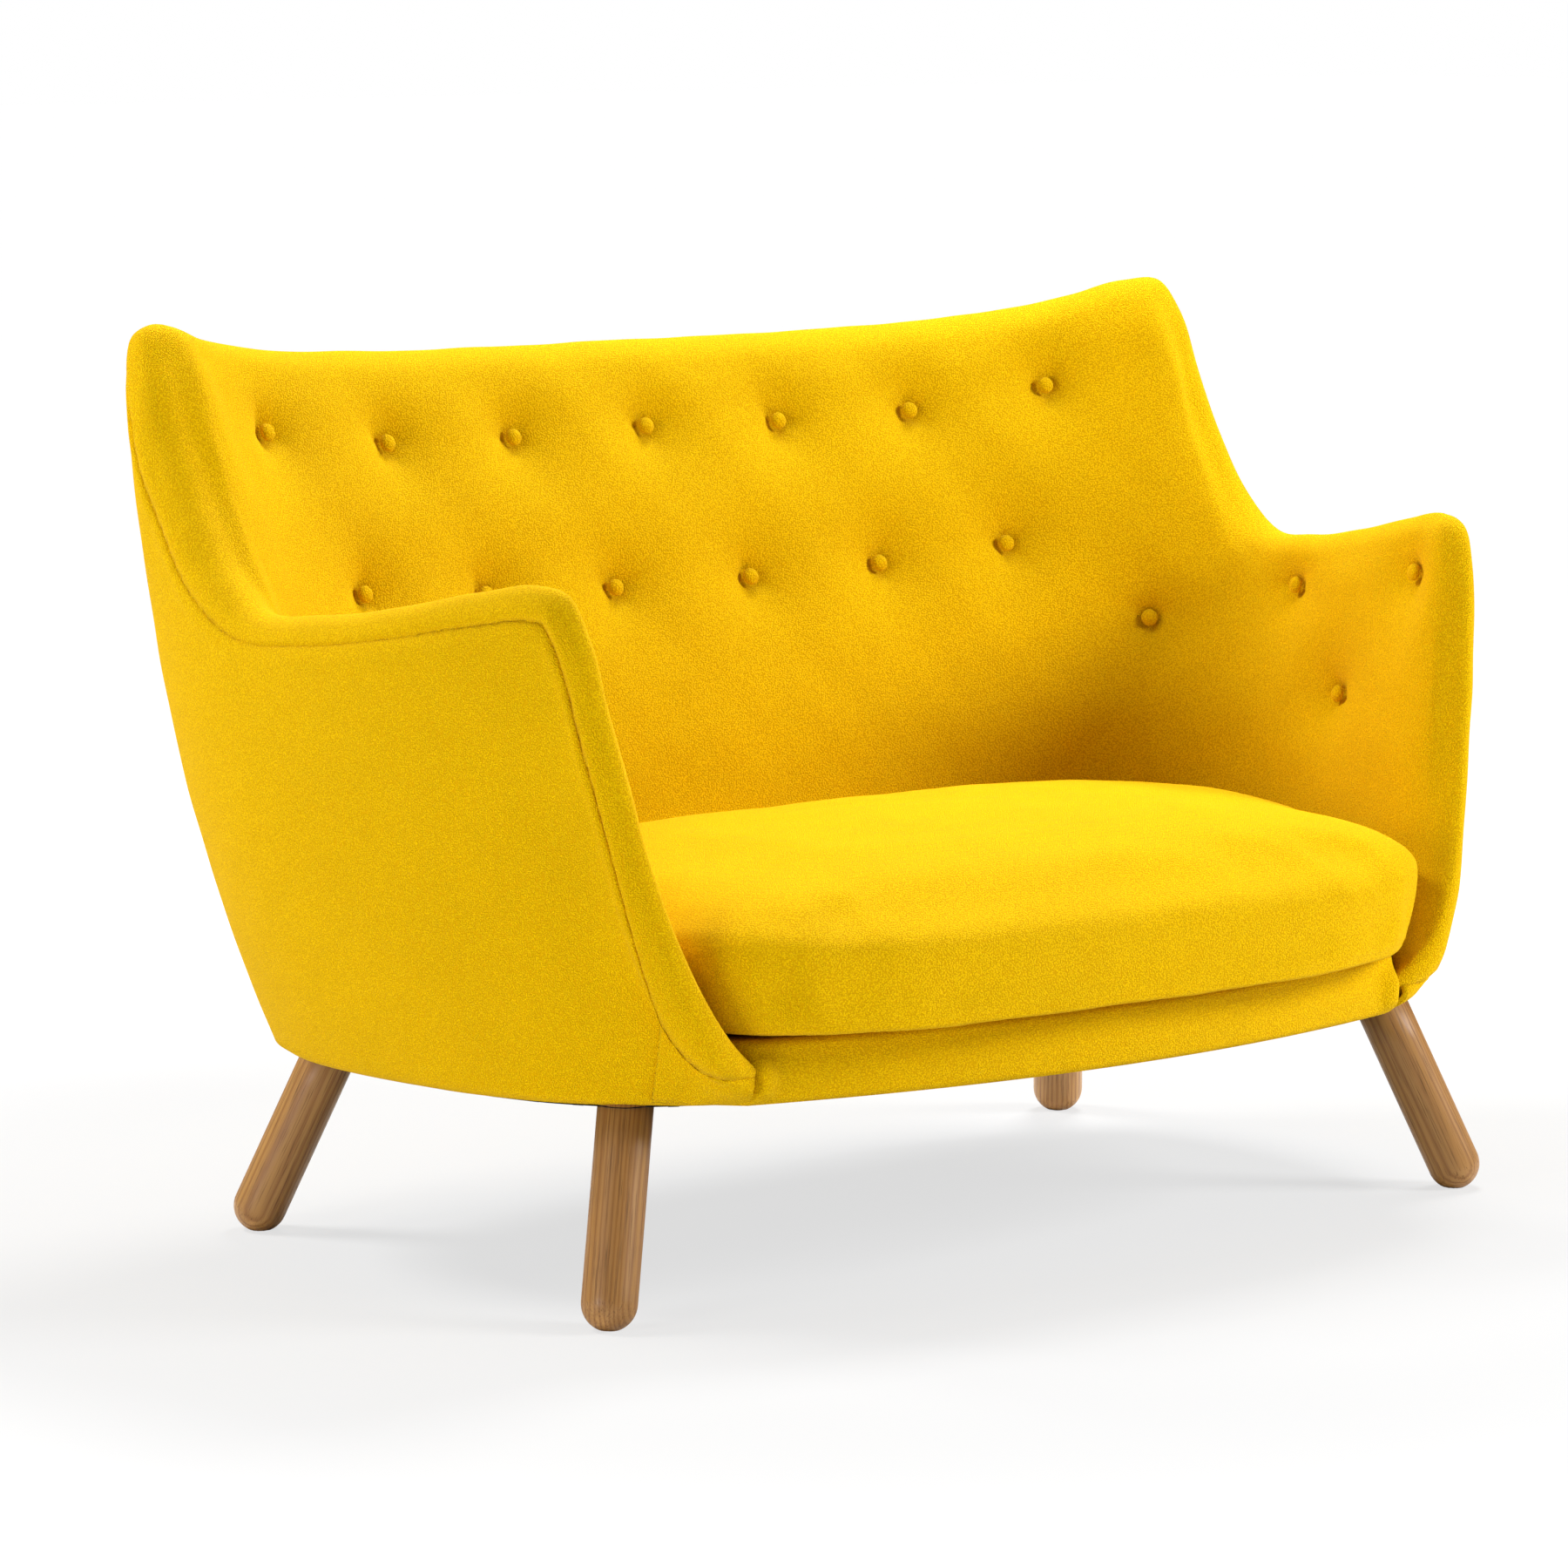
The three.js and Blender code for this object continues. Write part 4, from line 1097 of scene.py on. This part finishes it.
def turned_shape(name, profile, segments):
    """A closed shape of revolution about Z through (radius, height) pairs; ends lie on the axis."""
    angles = np.linspace(0, 2 * math.pi, segments, endpoint=False)
    verts = [(0, 0, profile[0][1])]
    for radius, height in profile[1:-1]:
        verts += [(radius * math.cos(a), radius * math.sin(a), height) for a in angles]
    verts.append((0, 0, profile[-1][1]))
    rings = len(profile) - 2
    last_ring = 1 + (rings - 1) * segments
    faces = band_faces(1, rings, segments)
    for j in range(segments):
        k = (j + 1) % segments
        faces += [(0, 1 + k, 1 + j), (last_ring + j, last_ring + k, len(verts) - 1)]
    return new_piece(name, verts, faces, None)


BUTTON_BACK = -0.0022
BUTTON_BROW = 0.0014           # where a button's dome starts
TUFT_DEPTH = 0.0080            # how far the buttons sit below the frame's inside face


def covered_buttons():
    """Domed, cloth-covered tufting buttons, one shape set on every tufting point."""
    settings = bpy.context.scene.sofa_padding
    r, h = settings.button_radius, settings.button_height
    profile = [(0, BUTTON_BACK), (0.6 * r, BUTTON_BACK), (0.93 * r, -0.0012), (r, 0.0006)]
    for a in np.linspace(0.12, 1.45, 8):
        profile.append((r * math.cos(a), BUTTON_BROW + (h - BUTTON_BROW) * math.sin(a)))
    profile += [(0, h)]
    places = button_places()
    spots = [shifted(point - normal * TUFT_DEPTH) for _, point, normal in places]
    facing = [normal for _, _, normal in places]
    shape = turned_shape("button_shape", profile, 32)
    buttons = placed_on("tufting_buttons", spots, facing, shape, finish("cover cloth"))
    for polygon in buttons.data.polygons:
        polygon.use_smooth = True
    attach(buttons, SOFA)
    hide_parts(*[name for name, _, _ in places])


# ---- legs ------------------------------------------------------------------------------------
LEG_AXES = {
    "front": ((0.521, -0.281), (0.462, -0.230)),
    "rear": ((0.503, 0.281), (0.451, 0.222)),
}
LEG_SIDES = 72
LEG_LIGHT = (0.54, 0.30, 0.09)
LEG_DARK = (0.24, 0.10, 0.028)
LEG_PORE = (0.09, 0.036, 0.011)


def wooden_legs():
    """Turned round legs with a domed foot, cut level at the top."""
    for index, (side, sign) in enumerate(SIDES):
        for place, (foot, top) in LEG_AXES.items():
            rise = math.sqrt(LEG_RADIUS ** 2 - FOOT_FLAT ** 2)
            start = Vector((foot[0] * sign, foot[1] + DEPTH_SHIFT, rise))
            end = Vector((top[0] * sign, top[1] + DEPTH_SHIFT, LEG_TOP))
            axis = (end - start).normalized()
            turn = axis.to_track_quat("Z", "Y")
            dome = np.linspace(0, math.pi / 2, 14)
            profile = [(LEG_RADIUS * math.sin(a), -LEG_RADIUS * math.cos(a)) for a in dome[1:]]
            profile += [(LEG_RADIUS, h) for h in np.linspace(0.012, 0.13, 9)]
            angles = np.linspace(0, 2 * math.pi, LEG_SIDES, endpoint=False)
            verts = [start - axis * LEG_RADIUS]
            for radius, height in profile:
                verts += [start + turn @ Vector((radius * math.cos(a), radius * math.sin(a), height))
                          for a in angles]
            for a in angles:
                point = start + turn @ Vector((LEG_RADIUS * math.cos(a), LEG_RADIUS * math.sin(a), 0))
                verts.append(point + axis * ((LEG_TOP - point.z) / axis.z))
            verts = [Vector((v.x, v.y, max(v.z, 0))) for v in verts]
            rings = len(profile) + 1
            faces = [(0, 1 + (j + 1) % LEG_SIDES, 1 + j) for j in range(LEG_SIDES)]
            faces += band_faces(1, rings, LEG_SIDES)
            faces.append(tuple(1 + (rings - 1) * LEG_SIDES + j for j in range(LEG_SIDES)))
            name = f"{side}_{place}_leg"
            seed = 0.37 * index + (0.9 if place == "rear" else 0.0)
            wood = wood_material(f"oiled wood {side} {place}", finishes, LEG_LIGHT, LEG_DARK,
                                 LEG_PORE, 0.42, seed, axis)
            piece = new_piece(f"{name}_turned", [tuple(v) for v in verts], faces, wood)
            face_out(piece)
            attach(piece, SOFA)
            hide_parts(name)


# ---- under the cushion and under the seat ----------------------------------------------------
def plan_mesh(outline, holes, spacing):
    """Flat triangles inside an outline, with holes, and points at an even spacing between."""
    points = [Vector(p) for p in outline]
    loops = [list(range(len(points)))]
    for hole in holes:
        loops.append(list(range(len(points), len(points) + len(hole))))
        points += [Vector(p) for p in hole]
    low = np.min(np.array(outline), axis=0)
    high = np.max(np.array(outline), axis=0)
    for x in np.arange(low[0] + spacing, high[0], spacing):
        for y in np.arange(low[1] + spacing, high[1], spacing):
            points.append(Vector((x, y)))
    verts, _, faces, _, _, _ = delaunay_2d_cdt(points, [], loops, 5 if holes else 1, 1e-5)
    return np.array([(v.x, v.y) for v in verts]), faces


def ring_plan(t, setback):
    return (outer_base(t) - base_normal(t) * setback)[:, :2] + np.array([0, DEPTH_SHIFT])


def nearest(plan, outline):
    """Distance from each point to the nearest point of an outline."""
    near = np.full(len(plan), 1.0)
    for p in outline:
        near = np.minimum(near, np.linalg.norm(plan - p, axis=1))
    return near


LEG_HOLE = 0.0285              # radius of the hole in the lining round a leg
FOOT_MIDDLE = 0.0231           # height of the middle of a leg's round foot


def dust_cover():
    """Black lining under the seat, stretched with a slight sag and cut round the legs."""
    around = ring_plan(np.linspace(-0.97, 0.97, 121), 0.019)
    x = np.linspace(0.360, -0.360, 41)
    front = np.column_stack([x, apron_y(x) + 0.0135 + DEPTH_SHIFT])
    outline = np.concatenate([around, front])
    holes = []
    level = UNDERSIDE - 0.0012
    for _, sign in SIDES:
        for foot, top in LEG_AXES.values():
            share = (level - FOOT_MIDDLE) / (LEG_TOP - FOOT_MIDDLE)
            cx = (foot[0] + (top[0] - foot[0]) * share) * sign
            cy = foot[1] + (top[1] - foot[1]) * share + DEPTH_SHIFT
            holes.append([(cx + LEG_HOLE * math.cos(a), cy + LEG_HOLE * math.sin(a))
                          for a in np.linspace(0, 2 * math.pi, 28, endpoint=False)])
    plan, faces = plan_mesh(outline, holes, 0.02)
    near = nearest(plan, outline)
    sag = -0.0014 * (1 - np.exp(-near / 0.12))
    wave = 0.0005 * np.sin(plan[:, 0] * 31 + 1) * np.sin(plan[:, 1] * 37)
    wave *= np.minimum(near / 0.05, 1)
    verts = np.column_stack([plan, level + sag + wave])
    piece = new_piece("dust_cover_cloth", verts, [tuple(f) for f in faces], finish("lining cloth"))
    modified(piece, "SOLIDIFY", thickness=0.0006, offset=0)
    bake(piece)
    face_out(piece)
    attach(piece, SOFA)
    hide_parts("dust_cover")
    staples(outline)


def staples(outline):
    """Staples that hold the lining, at an even spacing inside its edge."""
    closed = np.concatenate([outline, outline[:1]])
    steps = np.linalg.norm(np.diff(closed, axis=0), axis=1)
    run = np.concatenate([[0], np.cumsum(steps)])
    centre = outline.mean(axis=0)
    places = np.arange(0.02, run[-1] - 0.02, 0.045)
    spots, directions = [], []
    for s in places:
        point = np.array([np.interp(s, run, closed[:, i]) for i in range(2)])
        ahead = np.array([np.interp(s + 0.004, run, closed[:, i]) for i in range(2)])
        way = unit(ahead - point)
        inward = np.array([-way[1], way[0]])
        if inward @ (centre - point) < 0:
            inward = -inward
        point = point + inward * 0.007
        spots.append((*point, UNDERSIDE - 0.0024))
        directions.append((way[0], way[1], 0))
    shape = new_piece("staple_shape", *staple_mesh(), finish("zinc steel"), smooth=False)
    piece = placed_on("dust_cover_staples", spots, directions, shape, finish("zinc steel"))
    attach(piece, SOFA)


def staple_mesh():
    """A flat wire crown, along Z."""
    wide, thick, long = 0.0007, 0.0005, 0.010
    verts = [(x, y, z) for z in (-long / 2, long / 2)
             for x, y in ((-wide, -thick), (wide, -thick), (wide, thick), (-wide, thick))]
    faces = [(3, 2, 1, 0), (4, 5, 6, 7)]
    faces += [(i, (i + 1) % 4, (i + 1) % 4 + 4, i + 4) for i in range(4)]
    return verts, faces


def seat_deck():
    """Cloth-covered deck under the cushion, slightly crowned."""
    t = np.linspace(-0.80, 0.80, 97)
    around = (inner_base(t) - base_normal(t) * 0.001)[:, :2] + np.array([0, DEPTH_SHIFT])
    x = np.linspace(0.352, -0.352, 41)
    front = np.column_stack([x, apron_y(x) + 0.0445 + DEPTH_SHIFT])
    outline = np.concatenate([around, front])
    plan, faces = plan_mesh(outline, [], 0.012)
    near = nearest(plan, outline)
    top = SEAT_DECK - 0.0035 * np.exp(-near / 0.006) - 0.0012 * (1 - np.exp(-near / 0.1))
    verts = np.column_stack([plan, top])
    piece = new_piece("seat_deck_cover", verts, [tuple(f) for f in faces], finish("cover cloth"))
    modified(piece, "SOLIDIFY", thickness=0.014, offset=-1)
    bake(piece)
    face_out(piece)
    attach(piece, SOFA)
    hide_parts("seat_deck_pad")


def inner_frame():
    """Materials for the timber, webbing and bolts inside the shell."""
    looks = {"_rail": "frame timber", "_post": "frame timber", "_block": "frame timber",
             "_bolt": "zinc steel", "webbing": "jute webbing"}
    for name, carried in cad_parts.items():
        for ending, look in looks.items():
            if name.endswith(ending):
                carried.data.materials.clear()
                carried.data.materials.append(finish(look))


# ---- stage -----------------------------------------------------------------------------------
CAMERA_PLACE = (-4.0529, -4.8503, 1.2457)
CAMERA_TURN = (82.48, 0.0, -39.22)
CAMERA_LENS = 153.7
LIGHTS_AIM = (0, 0, 0.45)
# Painted light: the camera sees only part of the floor's colour plus a white glow. The glow rises to
# full white over the reach below, from the middle out, which paints a soft grey shadow round the sofa.
SEEN_FLOOR = (0.15, 0.15, 0.15)   # what the camera sees of its colour; the rest is glow
PAINTED_SHADOW_REACH = (0.85, 2.1)

# name, place, size, and share of the main light's power
LIGHTS = [
    ("front right", (3.0, -3.0, 2.6), 1.8, 1.0),
    ("rear left", (-1.6, 2.0, 3.2), 1.4, 0.55),
    ("rear right", (1.5, 0.9, 3.2), 1.2, 0.5),
    ("left", (-4.2, -0.6, 0.9), 1.5, 0.35),
    ("overhead", (0, 0, 3.6), 1.6, 0.1),
]


def add_light(name, place, size, power):
    data = bpy.data.lights.new(name, "AREA")
    data.shape = "DISK"
    data.size = size
    data.energy = power
    light = bpy.data.objects.new(name, data)
    light.location = place
    light.rotation_euler = (Vector(LIGHTS_AIM) - Vector(place)).to_track_quat("-Z", "Y").to_euler()
    bpy.context.scene.collection.objects.link(light)


def set_stage():
    settings = bpy.context.scene.sofa_stage
    scene = bpy.context.scene
    scene.view_settings.view_transform = "Standard"
    scene.view_settings.look = "None"
    bpy.ops.mesh.primitive_plane_add(size=60, location=(0, 0, 0))
    floor = bpy.context.object
    floor.name = "floor"
    material, tree, shader = new_material("white floor", 0.9, Specular_IOR_Level=0.1)
    place = node(tree, "ShaderNodeTexCoord").outputs["Object"]
    tone = tuple(settings.floor)
    ground = mixed(tree, noise(tree, place, 2.0), tone, tuple(c * 0.995 for c in tone))
    # painted light: for camera rays the floor shows a dark colour plus white glow; the glow is weaker
    # near the middle, which paints a soft grey shadow round the sofa
    seen = node(tree, "ShaderNodeLightPath").outputs["Is Camera Ray"]
    link(tree, mixed(tree, seen, ground, SEEN_FLOOR), shader.inputs["Base Color"])
    from_middle = node(tree, "ShaderNodeVectorMath", operation="LENGTH")
    link(tree, place, from_middle.inputs[0])
    glow = carried_over(tree, from_middle.outputs["Value"], PAINTED_SHADOW_REACH, (settings.glow, 1.0))
    shader.inputs["Emission Color"].default_value = (1, 1, 1, 1)
    link(tree, sum_up(tree, "MULTIPLY", seen, glow), shader.inputs["Emission Strength"])
    floor.data.materials.append(material)
    world = bpy.data.worlds.new("white surround")
    world.use_nodes = True
    background = world.node_tree.nodes["Background"]
    background.inputs["Color"].default_value = (1, 1, 1, 1)
    seen = node(world.node_tree, "ShaderNodeLightPath").outputs["Is Camera Ray"]
    level = sum_up(world.node_tree, "MULTIPLY_ADD", seen, 1 - settings.surround, settings.surround)
    link(world.node_tree, level, background.inputs["Strength"])
    scene.world = world
    for name, place, size, share in LIGHTS:
        add_light(name, place, size, settings.key * share)
    data = bpy.data.cameras.new("camera")
    data.lens = CAMERA_LENS
    data.sensor_width = 36
    data.sensor_fit = "AUTO"
    data.clip_start = 0.05
    data.clip_end = 200
    camera = bpy.data.objects.new("camera", data)
    camera.location = CAMERA_PLACE
    camera.rotation_euler = [math.radians(a) for a in CAMERA_TURN]
    scene.collection.objects.link(camera)
    scene.camera = camera


# ---- operators and panel ---------------------------------------------------------------------
class SOFA_OT_inside_cover(bpy.types.Operator):
    """Make the tufted inside cover with its rolled rim"""
    bl_idname = "sofa.inside_cover"
    bl_label = "Inside cover"

    def execute(self, context):
        inside_cover()
        return {"FINISHED"}


class SOFA_OT_outside_covers(bpy.types.Operator):
    """Make the covers of the outside back and of both outside arms"""
    bl_idname = "sofa.outside_covers"
    bl_label = "Outside covers"

    def execute(self, context):
        outside_cover("outside_back_cover", -BACK_END, BACK_END, "outside_back")
        outside_cover("left_outside_arm_cover", -1, -BACK_END, "left_outside_arm")
        outside_cover("right_outside_arm_cover", BACK_END, 1, "right_outside_arm")
        return {"FINISHED"}


class SOFA_OT_front_apron(bpy.types.Operator):
    """Make the cover of the front rail"""
    bl_idname = "sofa.front_apron"
    bl_label = "Front apron"

    def execute(self, context):
        front_apron()
        return {"FINISHED"}


class SOFA_OT_seat_cushion(bpy.types.Operator):
    """Make the loose seat cushion"""
    bl_idname = "sofa.seat_cushion"
    bl_label = "Seat cushion"

    def execute(self, context):
        seat_cushion()
        return {"FINISHED"}


class SOFA_OT_buttons(bpy.types.Operator):
    """Set a covered button on every tufting point"""
    bl_idname = "sofa.buttons"
    bl_label = "Buttons"

    def execute(self, context):
        covered_buttons()
        return {"FINISHED"}


class SOFA_OT_legs(bpy.types.Operator):
    """Make the four turned legs"""
    bl_idname = "sofa.legs"
    bl_label = "Legs"

    def execute(self, context):
        wooden_legs()
        return {"FINISHED"}


class SOFA_OT_seat_deck(bpy.types.Operator):
    """Make the covered deck under the cushion"""
    bl_idname = "sofa.seat_deck"
    bl_label = "Seat deck"

    def execute(self, context):
        seat_deck()
        return {"FINISHED"}


class SOFA_OT_dust_cover(bpy.types.Operator):
    """Make the lining under the seat and its staples"""
    bl_idname = "sofa.dust_cover"
    bl_label = "Dust cover"

    def execute(self, context):
        dust_cover()
        return {"FINISHED"}


class SOFA_OT_inner_frame(bpy.types.Operator):
    """Give the timber, webbing and bolts their materials"""
    bl_idname = "sofa.inner_frame"
    bl_label = "Inner frame"

    def execute(self, context):
        inner_frame()
        return {"FINISHED"}


class SOFA_OT_stage(bpy.types.Operator):
    """Set up the floor, the lights and the camera"""
    bl_idname = "sofa.stage"
    bl_label = "Stage"

    def execute(self, context):
        set_stage()
        return {"FINISHED"}


OPERATORS = (
    SOFA_OT_stage, SOFA_OT_inside_cover, SOFA_OT_outside_covers, SOFA_OT_front_apron,
    SOFA_OT_buttons, SOFA_OT_legs, SOFA_OT_seat_deck, SOFA_OT_dust_cover,
    SOFA_OT_inner_frame, SOFA_OT_seat_cushion,
)
GROUPS = (("sofa_cloth", SofaCloth), ("sofa_padding", SofaPadding), ("sofa_stage", SofaStage))


class SOFA_PT_pieces(bpy.types.Panel):
    """Lists the sofa's pieces and their settings"""
    bl_idname = "SOFA_PT_pieces"
    bl_label = "Sofa"
    bl_space_type = "VIEW_3D"
    bl_region_type = "UI"
    bl_category = "Sofa"

    def draw(self, context):
        for attribute, group in GROUPS:
            box = self.layout.box()
            for key in group.__annotations__:
                box.prop(getattr(context.scene, attribute), key)
        for operator in OPERATORS:
            self.layout.operator(operator.bl_idname)


def register():
    for attribute, group in GROUPS:
        bpy.utils.register_class(group)
        setattr(bpy.types.Scene, attribute, bpy.props.PointerProperty(type=group))
    for made in (*OPERATORS, SOFA_PT_pieces):
        bpy.utils.register_class(made)


def unregister():
    for made in (SOFA_PT_pieces, *reversed(OPERATORS)):
        bpy.utils.unregister_class(made)
    for attribute, group in reversed(GROUPS):
        delattr(bpy.types.Scene, attribute)
        bpy.utils.unregister_class(group)


def main():
    register()
    for operator in OPERATORS:
        area, call = operator.bl_idname.split(".")
        getattr(getattr(bpy.ops, area), call)()


if __name__ == "__main__":
    main()
